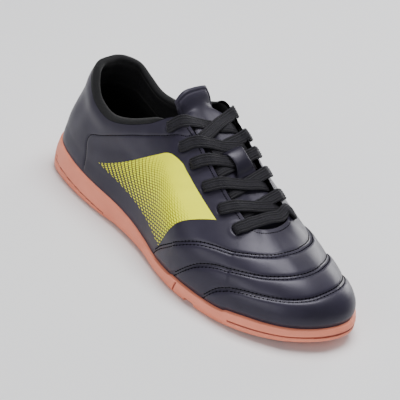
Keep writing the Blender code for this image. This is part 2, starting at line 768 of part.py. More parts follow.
def tongue_row(outer, inner, up):
    """Points across the tongue between two points under the throat, arched through the gap."""
    edge = under_edge(outer, up, TONGUE_DROP)
    far = under_edge(inner, up, TONGUE_DROP)
    tuck = under_edge(outer, up - TUCK, TONGUE_DROP)
    far_tuck = under_edge(inner, up - TUCK, TONGUE_DROP)
    middle = (edge + far) / 2
    slope = (edge - tuck) / np.linalg.norm(edge - tuck)
    far_slope = (far - far_tuck) / np.linalg.norm(far - far_tuck)
    reach = np.linalg.norm(far - edge)
    middle[2] += reach * 0.5 * (slope[2] + far_slope[2]) * TONGUE_CROWN
    keys = np.array([0.0, 0.16, 0.5, 0.84, 1.0])
    marks = np.array([tuck, edge, middle, far, far_tuck])
    slopes = np.gradient(marks, keys, axis=0)
    at = np.linspace(0, 1, TONGUE_ACROSS)
    cell = np.clip(np.searchsorted(keys, at, side="right") - 1, 0, 3)
    return np.column_stack([hermite(keys, marks[:, k], slopes[:, k], cell, at) for k in range(3)])


def tongue_face():
    """Outer face of the tongue, rows from the vamp to the free end."""
    rows = [tongue_row(outer, inner, up) for outer, inner, up in TONGUE_ROWS[1:]]
    for x, y, half, outer, crown, inner in TONGUE_END[1:]:
        u = np.linspace(-1, 1, TONGUE_ACROSS)
        side = np.where(u < 0, outer, inner)
        rows.append(np.column_stack([
            np.full(TONGUE_ACROSS, x) * LENGTH,
            (y + half * u) * BALL_WIDTH,
            (side + (crown - side) * (1 - np.abs(u) ** 2.6)) * INSTEP_HEIGHT,
        ]))
    return np.array(rows)


def sheet_solid(name, face, thick, look):
    """A closed sheet: the given grid and the same grid stepped along its normals."""
    rows, across = face.shape[:2]
    along = np.gradient(face, axis=0)
    aside = np.gradient(face, axis=1)
    normal = np.cross(along, aside)
    normal = normal / np.linalg.norm(normal, axis=2, keepdims=True)
    if normal[:, across // 2, 2].mean() < 0:
        normal = -normal
    back = face - normal * thick
    points = np.vstack([face.reshape(-1, 3), back.reshape(-1, 3)])
    many = rows * across
    faces = []
    for row in range(rows - 1):
        for k in range(across - 1):
            a = row * across + k
            faces.append((a, a + 1, a + across + 1, a + across))
            faces.append((many + a + across, many + a + across + 1, many + a + 1, many + a))
    edge = [k for k in range(across)]
    edge += [row * across + across - 1 for row in range(1, rows)]
    edge += [(rows - 1) * across + k for k in range(across - 2, -1, -1)]
    edge += [row * across for row in range(rows - 2, 0, -1)]
    for k in range(len(edge)):
        a = edge[k]
        b = edge[(k + 1) % len(edge)]
        faces.append((a, b, many + b, many + a))
    return solid(name, points, faces, look)


def build_tongue():
    """Padded leather tongue."""
    look = material("tongue_leather", (0.014, 0.014, 0.018), 0.45, 0.2)
    return sheet_solid("tongue", tongue_face(), TONGUE_THICK, look)


# eyelets from the top pair down: outer and inner are shares round the shoe, outer_up and inner_up
# their share of the ray, row the tongue row they sit beside
EYELETS = (
    ("outer", "outer_up", "inner", "inner_up", "row"),
    (0.241, 0.92, 0.750, 0.92, 8.45),
    (0.274, 0.87, 0.716, 0.90, 7.10),
    (0.294, 0.88, 0.696, 0.90, 6.33),
    (0.314, 0.87, 0.673, 0.90, 5.48),
    (0.338, 0.88, 0.647, 0.90, 4.50),
    (0.364, 0.87, 0.621, 0.90, 3.40),
)
# lace lengths from each pair of eyelets, the bar last: edge is the share round where a length comes
# over the throat's edge, from and to the tongue rows it runs between, stop the share across where
# it ends
OUTER_RUNS = (
    ("edge", "from", "to", "stop"),
    (0.2590, 7.85, 7.62, 0.86),
    (0.2860, 6.70, 6.58, 0.86),
    (0.2985, 6.30, 5.77, 0.86),
    (0.3185, 5.48, 4.83, 0.86),
    (0.3425, 4.50, 3.77, 0.86),
    (0.3640, 3.40, 3.40, 1.00),
)
INNER_RUNS = (
    ("edge", "from", "to", "stop"),
    (0.7455, 8.62, 7.12, 0.68),
    (0.7115, 7.10, 6.68, 0.58),
    (0.6915, 6.33, 5.77, 0.86),
    (0.6685, 5.48, 4.83, 0.86),
    (0.6425, 4.50, 3.77, 0.86),
    (0.6210, 3.40, 3.40, 1.00),
)
LACE_STEPS = 11
KEEPER_WIDE = 0.0135
KEEPER_THICK = 0.0013
KEEPER_REACH = 0.42
KEEPER_ACROSS = 0.57
KEEPER_DROP = -0.06
TONGUE_GRID = tongue_face()


def over_tongue(row, across, lift):
    """A point above the tongue: row number, share across, metres above its face."""
    rows, many = TONGUE_GRID.shape[:2]
    across = across * (many - 1)
    r = int(min(max(np.floor(row), 0), rows - 2))
    c = int(min(max(np.floor(across), 0), many - 2))
    u = row - r
    v = across - c
    corner = TONGUE_GRID[r, c]
    ahead = TONGUE_GRID[r + 1, c] - corner
    aside = TONGUE_GRID[r, c + 1] - corner
    twist = TONGUE_GRID[r + 1, c + 1] - TONGUE_GRID[r + 1, c] - aside
    point = corner + u * ahead + v * aside + u * v * twist
    normal = np.cross(ahead + v * twist, aside + u * twist)
    normal = normal / np.linalg.norm(normal)
    if normal[2] < 0:
        normal = -normal
    return point + normal * lift, normal


def over_upper(s, t, lift):
    """A point above the upper and the normal there."""
    face, normal = skin(np.array([s]), np.array([t]), lift)
    return face[0], normal[0]


def strand(near, side, high):
    """Path of one lace length: from an eyelet over the throat edge, down and across to the far side."""
    names = ("outer", "outer_up") if side > 0 else ("inner", "inner_up")
    s, up = column(EYELETS, names[0])[near], column(EYELETS, names[1])[near]
    edge, row, far_row, stop = (OUTER_RUNS if side > 0 else INNER_RUNS)[1 + near]
    rest = GAP * 3 + LACE_THICK / 2
    cross = rest + (LACE_THICK * 0.8 if high else 0.0) + (0.0002 if near == 0 else 0.0)
    start, end = (0.0, 1.0) if side > 0 else (1.0, 0.0)

    def over(v, lift):
        return over_tongue(row + (far_row - row) * v / stop, start + (end - start) * v, lift)

    marks = [
        over_upper(s, up, rest),
        over_upper(s + (edge - s) * 0.4, up + (1 - up) * 0.6, rest + GAP),
        over_upper(edge, 1.0, rest + GAP * 2),
    ]
    if stop == 1.0:
        far_s = column(EYELETS, "inner")[near]
        far_up = column(EYELETS, "inner_up")[near]
        for v, more in ((0.30, 1.7), (0.50, 1.6), (0.70, 1.7)):
            marks.append(over(v, cross + LACE_THICK * more))
        marks.append(over_upper(far_s, 1.0, rest + 0.0002))
        marks.append(over_upper(far_s, far_up + (1 - far_up) * 0.4, rest))
        marks.append(over_upper(far_s, far_up, rest))
    else:
        marks.append(over(0.30, cross + (0.0010 if near == 0 else 0.0006)))
        marks.append(over(0.50, cross))
        if stop > 0.75:
            marks.append(over(0.70, rest + (cross - rest) * 0.5))
        marks.append(over(stop, rest + GAP * (0.5 if stop > 0.75 else 1.0)))
    points = np.array([mark[0] for mark in marks])
    normals = np.array([mark[1] for mark in marks])
    return smooth_path(points, normals)


def smooth_path(points, normals):
    """Even points along an eased line through the marks, with their normals."""
    run = np.linalg.norm(np.diff(points, axis=0), axis=1)
    keys = np.concatenate([[0.0], np.cumsum(run)])
    at = np.linspace(0.0, keys[-1], LACE_STEPS)
    cell = np.clip(np.searchsorted(keys, at, side="right") - 1, 0, len(keys) - 2)
    line = np.zeros((LACE_STEPS, 3))
    facing = np.zeros((LACE_STEPS, 3))
    for k in range(3):
        slopes = np.gradient(points[:, k], keys)
        line[:, k] = hermite(keys, points[:, k], slopes, cell, at)
        facing[:, k] = np.interp(at, keys, normals[:, k])
    facing = facing / np.linalg.norm(facing, axis=1, keepdims=True)
    return line, facing


def ribbon(line, facing, wide, thick):
    """Points and faces of a flat ribbon swept along a line."""
    along = np.gradient(line, axis=0)
    along = along / np.linalg.norm(along, axis=1, keepdims=True)
    across = np.cross(along, facing)
    across = across / np.linalg.norm(across, axis=1, keepdims=True)
    up = np.cross(across, along)
    shape = ((-0.5, 0.0), (-0.38, 0.5), (0.38, 0.5), (0.5, 0.0), (0.38, -0.5), (-0.38, -0.5))
    points = []
    for k in range(len(line)):
        for a, b in shape:
            points.append(line[k] + across[k] * a * wide + up[k] * b * thick)
    faces = [tuple(range(6))]
    for k in range(len(line) - 1):
        faces += ring_faces(k * 6, k * 6 + 6, 6)
    last = (len(line) - 1) * 6
    faces.append(tuple(last + k for k in range(5, -1, -1)))
    return points, faces


def lace_look(name):
    """Black polyester lace."""
    return material(name, (0.010, 0.010, 0.012), 0.75)


def build_laces():
    """The straight bar at the bottom and the joined crossings above it."""
    last = len(EYELETS) - 2
    line, facing = strand(last, 1, False)
    points, faces = ribbon(line, facing, LACE_WIDE, LACE_THICK)
    solid("lace_bar", points, faces, lace_look("lace_bar_weave"))
    for number in range(last):
        name = "lace_cross_%d" % (last - number)
        line, facing = strand(number, 1, number > 0)
        points, faces = ribbon(line, facing, LACE_WIDE, LACE_THICK)
        body = solid(name, points, faces, lace_look(name + "_weave"))
        line, facing = strand(number, -1, number == 0)
        points, faces = ribbon(line, facing, LACE_WIDE, LACE_THICK)
        under = solid(name + "_under", points, faces, lace_look(name + "_under"))
        join(body, under)


def join(body, other):
    """Join two solids that meet into one body."""
    tool = body.modifiers.new("join", "BOOLEAN")
    tool.operation = "UNION"
    tool.solver = "EXACT"
    tool.object = other
    bake(body)
    bpy.data.objects.remove(other, do_unlink=True)


def build_keeper():
    """Leather strap on the tongue that the third crossing passes under."""
    row = (OUTER_RUNS[3][1] + OUTER_RUNS[3][2]) / 2 + KEEPER_DROP
    top = GAP * 4 + LACE_THICK * 1.8 + GAP * 2 + KEEPER_THICK / 2
    low = GAP + KEEPER_THICK / 2
    marks = []
    for part, share in ((-1.0, 0.96), (-0.5, 1.06), (0.0, 1.10), (0.5, 1.06), (1.0, 0.96)):
        marks.append(over_tongue(row + part * KEEPER_REACH, KEEPER_ACROSS, low + (top - low) * share))
    line, facing = smooth_path(np.array([m[0] for m in marks]), np.array([m[1] for m in marks]))
    points, faces = ribbon(line, facing, KEEPER_WIDE, KEEPER_THICK)
    solid("lace_keeper", points, faces, material("keeper_leather", (0.014, 0.014, 0.018), 0.45, 0.2))


def seat_on_origin():
    """Move every node so the floor under the middle of the whole shoe is the origin."""
    bpy.context.view_layer.update()
    nodes = [thing for thing in bpy.data.objects if thing.type == "MESH"]
    corners = np.array([tuple(v.co) for thing in nodes for v in thing.data.vertices])
    low = corners.min(axis=0)
    high = corners.max(axis=0)
    shift = Vector((-(low[0] + high[0]) / 2, -(low[1] + high[1]) / 2, -low[2]))
    for thing in nodes:
        for vertex in thing.data.vertices:
            vertex.co += shift
        thing.data.update()
    return shift


if __name__ == "__main__":
    clear_scene()
    build_upper()
    build_sole()
    build_insole()
    build_tongue()
    build_laces()
    build_keeper()
    print("moved by", seat_on_origin())
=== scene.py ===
"""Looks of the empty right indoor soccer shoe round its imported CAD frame.

The frame is imported as it is. Fine pieces follow the same loft as the CAD solids, with quilting,
stitches, ribbed laces, textile lining and carved tread that the solids leave out.
"""
import bpy
import math
import numpy as np
from mathutils import Matrix, Vector
from mathutils.geometry import delaunay_2d_cdt


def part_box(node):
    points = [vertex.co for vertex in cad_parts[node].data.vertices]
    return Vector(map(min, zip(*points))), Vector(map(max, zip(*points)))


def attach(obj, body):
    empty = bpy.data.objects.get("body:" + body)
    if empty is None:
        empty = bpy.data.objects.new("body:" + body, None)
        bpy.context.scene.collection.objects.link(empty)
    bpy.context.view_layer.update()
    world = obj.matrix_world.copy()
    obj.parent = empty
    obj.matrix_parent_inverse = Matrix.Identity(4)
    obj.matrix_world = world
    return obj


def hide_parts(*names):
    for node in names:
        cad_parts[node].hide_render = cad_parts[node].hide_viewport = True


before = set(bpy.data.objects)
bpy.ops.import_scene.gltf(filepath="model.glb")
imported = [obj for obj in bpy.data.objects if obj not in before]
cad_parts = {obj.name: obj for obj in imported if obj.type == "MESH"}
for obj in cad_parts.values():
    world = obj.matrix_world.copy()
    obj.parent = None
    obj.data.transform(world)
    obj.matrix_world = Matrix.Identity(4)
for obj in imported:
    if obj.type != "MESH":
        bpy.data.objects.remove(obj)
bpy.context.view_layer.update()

# main sizes of the shoe, metres
LENGTH = 0.290
BALL_WIDTH = 0.108
HEEL_WALL = 0.027
COLLAR_HEIGHT = 0.093
INSTEP_HEIGHT = 0.104
GAP = 0.0003

# walls
LIP_THICK = 0.0024
WALL = 0.0020
COLLAR_PAD = 0.0060
INSOLE_THICK = 0.0035
TONGUE_THICK = 0.0045
TONGUE_DROP = 0.0036
INSOLE_INSET = LIP_THICK + GAP + WALL + GAP

# lace ribbon
LACE_WIDE = 0.0085
LACE_THICK = 0.0017
LACE_RIBS = 5

# steps round the shoe that the loft is worked out at
FINE = 2880
COLUMNS = 80

# stations round the shoe, from the back of the heel along the outer side to the toe and back:
# along and across place the sole's top edge (shares of LENGTH from the heel, of BALL_WIDTH);
# lip is the height of that edge (share of HEEL_WALL); x, y, z place the edge of the collar and
# throat (shares of LENGTH from the middle, of BALL_WIDTH, and of COLLAR_HEIGHT where heel is 1,
# of INSTEP_HEIGHT where heel is 0); out is the lean of the wall over the sole's edge and rise how
# far it holds; top is the slope where the wall arrives and run how far (degrees, shares of the ray)
STATIONS = (
    ("along", "across", "lip", "x", "y", "z", "heel", "out", "rise", "top", "run"),
    (0.000, -0.020, 1.000, -0.434, 0.009, 1.003, 1.00, 2, 0.36, 80, 0.30),
    (0.012, -0.150, 0.990, -0.429, -0.083, 1.001, 1.00, 3, 0.36, 80, 0.30),
    (0.041, -0.259, 0.950, -0.405, -0.171, 0.976, 1.00, 3, 0.36, 82, 0.30),
    (0.097, -0.315, 0.870, -0.371, -0.236, 0.898, 1.00, 2, 0.36, 84, 0.30),
    (0.166, -0.347, 0.790, -0.331, -0.264, 0.823, 1.00, 1, 0.36, 84, 0.30),
    (0.241, -0.361, 0.735, -0.276, -0.278, 0.789, 0.90, 1, 0.36, 84, 0.30),
    (0.321, -0.361, 0.675, -0.214, -0.269, 0.830, 0.70, 2, 0.36, 82, 0.30),
    (0.397, -0.375, 0.580, -0.155, -0.241, 0.897, 0.40, 4, 0.36, 78, 0.30),
    (0.466, -0.407, 0.460, -0.103, -0.206, 0.967, 0.15, 6, 0.38, 70, 0.32),
    (0.517, -0.444, 0.390, -0.067, -0.171, 1.000, 0.00, 8, 0.38, 60, 0.34),
    (0.569, -0.477, 0.385, -0.024, -0.157, 0.963, 0.00, 10, 0.38, 52, 0.36),
    (0.621, -0.500, 0.405, 0.034, -0.160, 0.868, 0.00, 12, 0.38, 46, 0.38),
    (0.672, -0.500, 0.395, 0.097, -0.163, 0.762, 0.00, 13, 0.38, 42, 0.38),
    (0.728, -0.486, 0.375, 0.155, -0.157, 0.663, 0.00, 13, 0.38, 38, 0.38),
    (0.786, -0.463, 0.400, 0.203, -0.139, 0.593, 0.00, 13, 0.38, 34, 0.38),
    (0.841, -0.417, 0.480, 0.226, -0.111, 0.567, 0.00, 13, 0.36, 30, 0.40),
    (0.893, -0.343, 0.505, 0.234, -0.077, 0.558, 0.00, 12, 0.34, 26, 0.42),
    (0.938, -0.255, 0.535, 0.240, -0.044, 0.556, 0.00, 11, 0.33, 24, 0.43),
    (0.972, -0.139, 0.565, 0.242, -0.009, 0.554, 0.00, 10, 0.32, 22, 0.44),
    (0.995, 0.010, 0.585, 0.244, 0.028, 0.553, 0.00, 7, 0.315, 26, 0.44),
    (0.996, 0.170, 0.585, 0.243, 0.065, 0.554, 0.00, 5, 0.312, 28, 0.44),
    (0.965, 0.300, 0.560, 0.241, 0.100, 0.556, 0.00, 4, 0.318, 31, 0.43),
    (0.914, 0.394, 0.520, 0.238, 0.134, 0.561, 0.00, 0, 0.312, 35, 0.42),
    (0.855, 0.457, 0.460, 0.230, 0.167, 0.572, 0.00, -3, 0.319, 41, 0.40),
    (0.793, 0.491, 0.410, 0.207, 0.194, 0.601, 0.00, -3, 0.344, 43, 0.38),
    (0.731, 0.503, 0.390, 0.152, 0.204, 0.678, 0.00, -1, 0.364, 43, 0.38),
    (0.669, 0.489, 0.385, 0.090, 0.208, 0.779, 0.00, 0, 0.369, 48, 0.38),
    (0.603, 0.452, 0.390, 0.028, 0.216, 0.885, 0.00, 0, 0.371, 53, 0.36),
    (0.541, 0.398, 0.410, -0.034, 0.231, 0.971, 0.00, 0, 0.372, 60, 0.34),
    (0.479, 0.345, 0.450, -0.078, 0.255, 1.000, 0.00, 1, 0.372, 68, 0.32),
    (0.417, 0.299, 0.530, -0.124, 0.278, 0.943, 0.15, 3, 0.36, 74, 0.30),
    (0.355, 0.278, 0.610, -0.176, 0.296, 0.848, 0.40, 2, 0.36, 80, 0.30),
    (0.293, 0.281, 0.680, -0.241, 0.299, 0.782, 0.70, 1, 0.36, 84, 0.30),
    (0.224, 0.301, 0.740, -0.314, 0.294, 0.776, 0.90, 1, 0.36, 84, 0.30),
    (0.155, 0.318, 0.790, -0.366, 0.282, 0.854, 1.00, 1, 0.36, 84, 0.30),
    (0.093, 0.301, 0.870, -0.398, 0.245, 0.940, 1.00, 2, 0.36, 82, 0.30),
    (0.041, 0.227, 0.950, -0.421, 0.157, 0.990, 1.00, 2, 0.36, 80, 0.30),
    (0.011, 0.110, 0.990, -0.433, 0.083, 1.003, 1.00, 2, 0.36, 80, 0.30),
)

# sole profile along the shoe: floor is the underside (share of HEEL_WALL) with its arch and toe
# spring, bed the top of the cup's floor, flare how far the foot of the wall stands in (+) or out
SOLE_PROFILE = (
    ("along", "floor", "bed", "flare"),
    (0.00, 0.130, 0.500, -0.140),
    (0.03, 0.040, 0.480, -0.080),
    (0.08, 0.000, 0.450, 0.010),
    (0.27, 0.000, 0.400, 0.040),
    (0.34, 0.045, 0.360, 0.050),
    (0.46, 0.045, 0.290, 0.050),
    (0.54, 0.000, 0.250, 0.050),
    (0.72, 0.000, 0.240, 0.050),
    (0.80, 0.040, 0.260, 0.050),
    (0.88, 0.110, 0.310, 0.050),
    (0.95, 0.220, 0.400, 0.030),
    (1.00, 0.350, 0.500, -0.070),
)


def column(rows, name):
    """One named column of a table."""
    where = rows[0].index(name)
    return np.array([row[where] for row in rows[1:]], float)


def bell(x, wide):
    """Bell curve of height 1 and the given width."""
    return np.exp(-0.5 * (x / wide) ** 2)


def unit(vectors):
    """Vectors at length 1."""
    return vectors / np.linalg.norm(vectors, axis=-1, keepdims=True)


def run_along(points):
    """Length run along a line of points, at each of them."""
    return np.concatenate([[0.0], np.cumsum(np.linalg.norm(np.diff(points, axis=0), axis=1))])


def along_profile(name, share):
    """A sole profile column at shares of the length, eased between rows."""
    keys = column(SOLE_PROFILE, "along")
    values = column(SOLE_PROFILE, name)
    steps = np.diff(values) / np.diff(keys)
    rising = steps[:-1] * steps[1:] > 0
    total = np.where(rising, steps[:-1] + steps[1:], 1.0)
    inner = np.where(rising, 2 * steps[:-1] * steps[1:] / total, 0.0)
    slopes = np.concatenate([steps[:1], inner, steps[-1:]])
    return hermite(keys, values, slopes, np.clip(share, 0.0, 1.0))


def hermite(keys, values, slopes, at):
    """Cubic between keys with the slopes held at each, for values with any number of columns."""
    cell = np.clip(np.searchsorted(keys, at, side="right") - 1, 0, len(keys) - 2)
    wide = keys[cell + 1] - keys[cell]
    u = (at - keys[cell]) / wide
    if values.ndim > 1:
        columns = (1,) * (values.ndim - 1)
        wide = wide.reshape(-1, *columns)
        u = u.reshape(-1, *columns)
    first = (1 + 2 * u) * (1 - u) ** 2 * values[cell] + u * (1 - u) ** 2 * wide * slopes[cell]
    second = u ** 2 * (3 - 2 * u) * values[cell + 1] + u ** 2 * (u - 1) * wide * slopes[cell + 1]
    return first + second


def smooth_round(line, soft):
    """A closed FINE line smoothed by a bell whose width is a share of the way round."""
    weight = bell(np.minimum(np.arange(FINE), FINE - np.arange(FINE)) / FINE, soft)
    return np.real(np.fft.ifft(np.fft.fft(line) * np.fft.fft(weight / weight.sum())))


def round_values(keys, values, soft):
    """A station column carried smoothly round the shoe at FINE even steps."""
    long_keys = np.concatenate([keys - 1.0, keys, keys + 1.0])
    long_values = np.concatenate([values, values, values])
    slopes = np.zeros(len(long_keys))
    slopes[1:-1] = (long_values[2:] - long_values[:-2]) / (long_keys[2:] - long_keys[:-2])
    return smooth_round(hermite(long_keys, long_values, slopes, np.arange(FINE) / FINE), soft)


def even_ring():
    """Sole's top edge at even steps of its own length, and where each station falls on it."""
    xs = (column(STATIONS, "along") - 0.5) * LENGTH
    ys = column(STATIONS, "across") * BALL_WIDTH
    step = np.hypot(np.roll(xs, -1) - xs, np.roll(ys, -1) - ys)
    keys = np.concatenate([[0.0], np.cumsum(step)])
    keys = keys[:-1] / keys[-1]
    for _ in range(3):
        line_x = round_values(keys, xs, 0.008)
        line_y = round_values(keys, ys, 0.008)
        run = np.hypot(np.roll(line_x, -1) - line_x, np.roll(line_y, -1) - line_y)
        length = np.concatenate([[0.0], np.cumsum(run)])
        keys = np.interp(keys, np.arange(FINE + 1) / FINE, length / length[-1])
        keys = keys - keys[0]
    return line_x, line_y, keys


RING_X, RING_Y, KEYS = even_ring()
RING_LENGTH = float(np.hypot(np.roll(RING_X, -1) - RING_X, np.roll(RING_Y, -1) - RING_Y).sum())


def side_normal(xs, ys):
    """Unit outward normals of a closed plan line that runs heel, outer side, toe, inner side."""
    dx = np.roll(xs, -1) - np.roll(xs, 1)
    dy = np.roll(ys, -1) - np.roll(ys, 1)
    size = np.hypot(dx, dy)
    return dy / size, -dx / size


NORMAL_X, NORMAL_Y = side_normal(RING_X, RING_Y)


def station(name, soft=0.008):
    """A named station column at FINE even steps round the shoe."""
    return round_values(KEYS, column(STATIONS, name), soft)


# the side wall steps up where the outer wing and the toe guard begin: from and to are shares
# round the sole's edge, raise a share of HEEL_WALL
LIP_STEPS = (
    ("from", "to", "raise"),
    (0.290, 0.662, 0.040),
    (0.370, 0.610, 0.045),
)


def lip_steps(s):
    """Height the steps add to the sole's top edge."""
    added = np.zeros_like(s)
    for start, end, raised in LIP_STEPS[1:]:
        ramp = np.clip((s - start) / 0.005, 0, 1) * np.clip((end - s) / 0.005, 0, 1)
        added = added + raised * ramp * ramp * (3 - 2 * ramp)
    return added


LIP = (station("lip", 0.004) + lip_steps(np.arange(FINE) / FINE)) * HEEL_WALL
SHARE = RING_X / LENGTH + 0.5
FLOOR = along_profile("floor", SHARE) * HEEL_WALL
BED = along_profile("bed", SHARE) * HEEL_WALL
FLARE = along_profile("flare", SHARE) * HEEL_WALL

TOP = np.column_stack([
    station("x", 0.004) * LENGTH,
    station("y", 0.004) * BALL_WIDTH,
    station("z", 0.004) * (station("heel") * COLLAR_HEIGHT + (1 - station("heel")) * INSTEP_HEIGHT),
])
OUT = np.radians(station("out"))
RISE = station("rise")
SLOPE = np.radians(station("top"))
RUN = station("run")

FOOT = np.column_stack([
    RING_X - NORMAL_X * (LIP_THICK + GAP),
    RING_Y - NORMAL_Y * (LIP_THICK + GAP),
    LIP + GAP,
])


def round_at(line, s):
    """A FINE line, of values or of points, read at any shares round the shoe."""
    at = (np.asarray(s, float) % 1.0) * FINE
    low = np.floor(at).astype(int) % FINE
    part = at - np.floor(at)
    if line.ndim == 2:
        part = part[..., None]
    return line[low] * (1 - part) + line[(low + 1) % FINE] * part


def top_inward():
    """Unit plan direction into the opening, square to its edge."""
    nx, ny = (smooth_round(line, 0.012) for line in side_normal(TOP[:, 0], TOP[:, 1]))
    size = np.hypot(nx, ny)
    return -nx / size, -ny / size


INWARD_X, INWARD_Y = top_inward()


def plain_skin(s, t):
    """Smooth outer face of the upper: s round the shoe (0 to 1), t up the ray (0 to 1)."""
    start = round_at(FOOT, s)
    end = round_at(TOP, s)
    reach = np.linalg.norm(end - start, axis=-1)
    out = round_at(OUT, s)
    rise = round_at(RISE, s) * reach
    first = start + np.stack([
        rise * np.sin(out) * round_at(NORMAL_X, s),
        rise * np.sin(out) * round_at(NORMAL_Y, s),
        rise * np.cos(out),
    ], axis=-1)
    slope = round_at(SLOPE, s)
    run = round_at(RUN, s) * reach
    second = end - np.stack([
        run * np.cos(slope) * round_at(INWARD_X, s),
        run * np.cos(slope) * round_at(INWARD_Y, s),
        run * np.sin(slope),
    ], axis=-1)
    u = np.asarray(t, float)[..., None]
    return (1 - u) ** 3 * start + 3 * u * (1 - u) ** 2 * first + 3 * u ** 2 * (1 - u) * second + u ** 3 * end


# padded bands of the vamp: each seam climbs from the sole on the outer side, crosses the vamp and
# comes down on the inner side; round is the share of the way round the sole's edge, up the share
# of the ray from the sole to the throat
SEAMS = (
    (
        ("round", "up"),
        (0.247, -0.020), (0.260, 0.073), (0.283, 0.193), (0.301, 0.293), (0.317, 0.397),
        (0.332, 0.490), (0.346, 0.557), (0.360, 0.610), (0.376, 0.657), (0.391, 0.697),
        (0.413, 0.730), (0.438, 0.753), (0.466, 0.777), (0.506, 0.793), (0.548, 0.773),
        (0.583, 0.717), (0.612, 0.630), (0.638, 0.500), (0.663, 0.340), (0.690, 0.160),
        (0.715, -0.020),
    ),
    (
        ("round", "up"),
        (0.291, -0.020), (0.301, 0.043), (0.316, 0.160), (0.331, 0.277), (0.347, 0.373),
        (0.360, 0.430), (0.378, 0.470), (0.394, 0.497), (0.412, 0.513), (0.433, 0.537),
        (0.453, 0.553), (0.481, 0.577), (0.506, 0.593), (0.535, 0.587), (0.569, 0.523),
        (0.598, 0.430), (0.620, 0.330), (0.645, 0.190), (0.672, -0.020),
    ),
    (
        ("round", "up"),
        (0.338, -0.020), (0.345, 0.047), (0.354, 0.137), (0.365, 0.220), (0.378, 0.263),
        (0.391, 0.287), (0.403, 0.297), (0.422, 0.307), (0.438, 0.313), (0.453, 0.320),
        (0.472, 0.337), (0.493, 0.367), (0.515, 0.380), (0.544, 0.350), (0.570, 0.280),
        (0.590, 0.190), (0.606, 0.090), (0.622, -0.020),
    ),
)
PUFF = 0.0013
SEAM_DIP = 0.0006
COLLAR_ROLL = 0.0016
COLLAR_FROM = 0.785
COLLAR_TO = 0.222


def seam_up(seam, s):
    """Height of a seam up the ray at shares round the shoe; below the sole's edge outside it."""
    keys = column(seam, "round")
    values = column(seam, "up")
    near = np.clip(s, keys[0], keys[-1])
    height = hermite(keys, values, np.gradient(values, keys), near)
    return np.maximum(height - 5.0 * np.abs(s - near), -0.2)


def ease(x):
    """Smooth step from 0 to 1."""
    x = np.clip(x, 0.0, 1.0)
    return x * x * (3 - 2 * x)


def collar_share(s):
    """1 round the padded collar, easing to 0 at the front corners of the throat."""
    s = s % 1.0
    outer = ease((COLLAR_TO + 0.012 - s) / 0.03)
    inner = ease((s - COLLAR_FROM + 0.012) / 0.03)
    return np.where(s < 0.5, outer, inner)


def relief(s, t):
    """Puffed vamp bands, their seams and the collar roll."""
    s = np.asarray(s, float) % 1.0
    edges = [seam_up(seam, s) for seam in SEAMS] + [np.full_like(s, -0.04)]
    height = np.zeros_like(s)
    for edge, below in zip(edges[:-1], edges[1:]):
        wide = np.maximum(edge - below, 0.02)
        u = (t - below) / wide
        bow = np.clip(4 * u * (1 - u), 0, 1) ** 0.7 * PUFF * ease(wide / 0.22)
        height = np.where((u > 0) & (u < 1) & (edge > 0), np.maximum(height, bow), height)
    for edge in edges[:-1]:
        height = height - SEAM_DIP * bell(t - edge, 0.016) * (edge > 0.0)
    roll = bell(t - 0.86, 0.10) * COLLAR_ROLL
    return (height + roll * collar_share(s)) * ease(t / 0.06)


def skin(s, t, lift=0.0):
    """Outer face of the upper with its relief, and its outward normals."""
    s = np.asarray(s, float)
    t = np.asarray(t, float)
    around = plain_skin(s + 0.0015, t) - plain_skin(s - 0.0015, t)
    upward = plain_skin(s, np.clip(t + 0.01, 0.0, 1.0)) - plain_skin(s, np.clip(t - 0.01, 0.0, 1.0))
    normal = unit(np.cross(around, upward))
    return plain_skin(s, t) + normal * (relief(s, t) + lift)[..., None], normal


def wall_thickness(s, t):
    """Leather wall, thickened by the foam of the collar."""
    pad = collar_share(s) * ease((t - 0.45) / 0.35)
    return WALL + (COLLAR_PAD - WALL) * pad


# grooves round the main tread zones of the underside, as closed lines: along is the share of
# LENGTH from the heel, across the share of BALL_WIDTH (+ inner side)
TREAD_ZONES = (
    (
        ("along", "across"),
        (0.125, -0.130), (0.205, -0.020), (0.195, 0.195), (0.300, 0.185), (0.410, 0.190),
        (0.520, 0.250), (0.570, 0.190), (0.480, 0.000), (0.350, -0.090), (0.230, -0.150),
    ),
    (
        ("along", "across"),
        (0.265, -0.200), (0.360, -0.150), (0.460, -0.060), (0.545, 0.040), (0.580, -0.080),
        (0.540, -0.300), (0.440, -0.285), (0.340, -0.270),
    ),
    (
        ("along", "across"),
        (0.645, 0.020), (0.700, 0.190), (0.760, 0.370), (0.850, 0.335), (0.925, 0.190),
        (0.935, 0.010), (0.890, -0.190), (0.810, -0.330), (0.710, -0.380), (0.640, -0.300),
        (0.615, -0.120),
    ),
)
PIVOT = (0.645, 0.270)
PIVOT_RINGS = (0.0060, 0.0090, 0.0125)
HEEL_BAR = (0.052, -0.120)
HEEL_BAR_SIZE = (0.0030, 0.0095)
TREAD_WIDE = 0.0016
TREAD_DEEP = 0.0014

# grooves and notches of the side wall: from and to are shares round the edge, the heights are
# shares of the wall from the floor to its top edge
SIDE_GROOVES = (
    ("from", "to", "low_from", "low_to"),
    (0.016, 0.052, 0.640, 0.470),
    (0.030, 0.080, 0.380, 0.300),
    (0.060, 0.150, 0.330, 0.160),
    (0.378, 0.602, 0.420, 0.420),
    (0.300, 0.304, 0.150, 0.800),
    (0.910, 0.960, 0.330, 0.560),
    (0.850, 0.935, 0.160, 0.330),
)
SIDE_SOFT = 0.00060
SIDE_DEEP = 0.0010
EDGE_NOTCHES = (
    ("from", "to"),
    (0.318, 0.334),
    (0.648, 0.664),
)
NOTCH_DEEP = 0.0024
NOTCH_HIGH = 0.34
NOTCH_RAMP = 0.0025


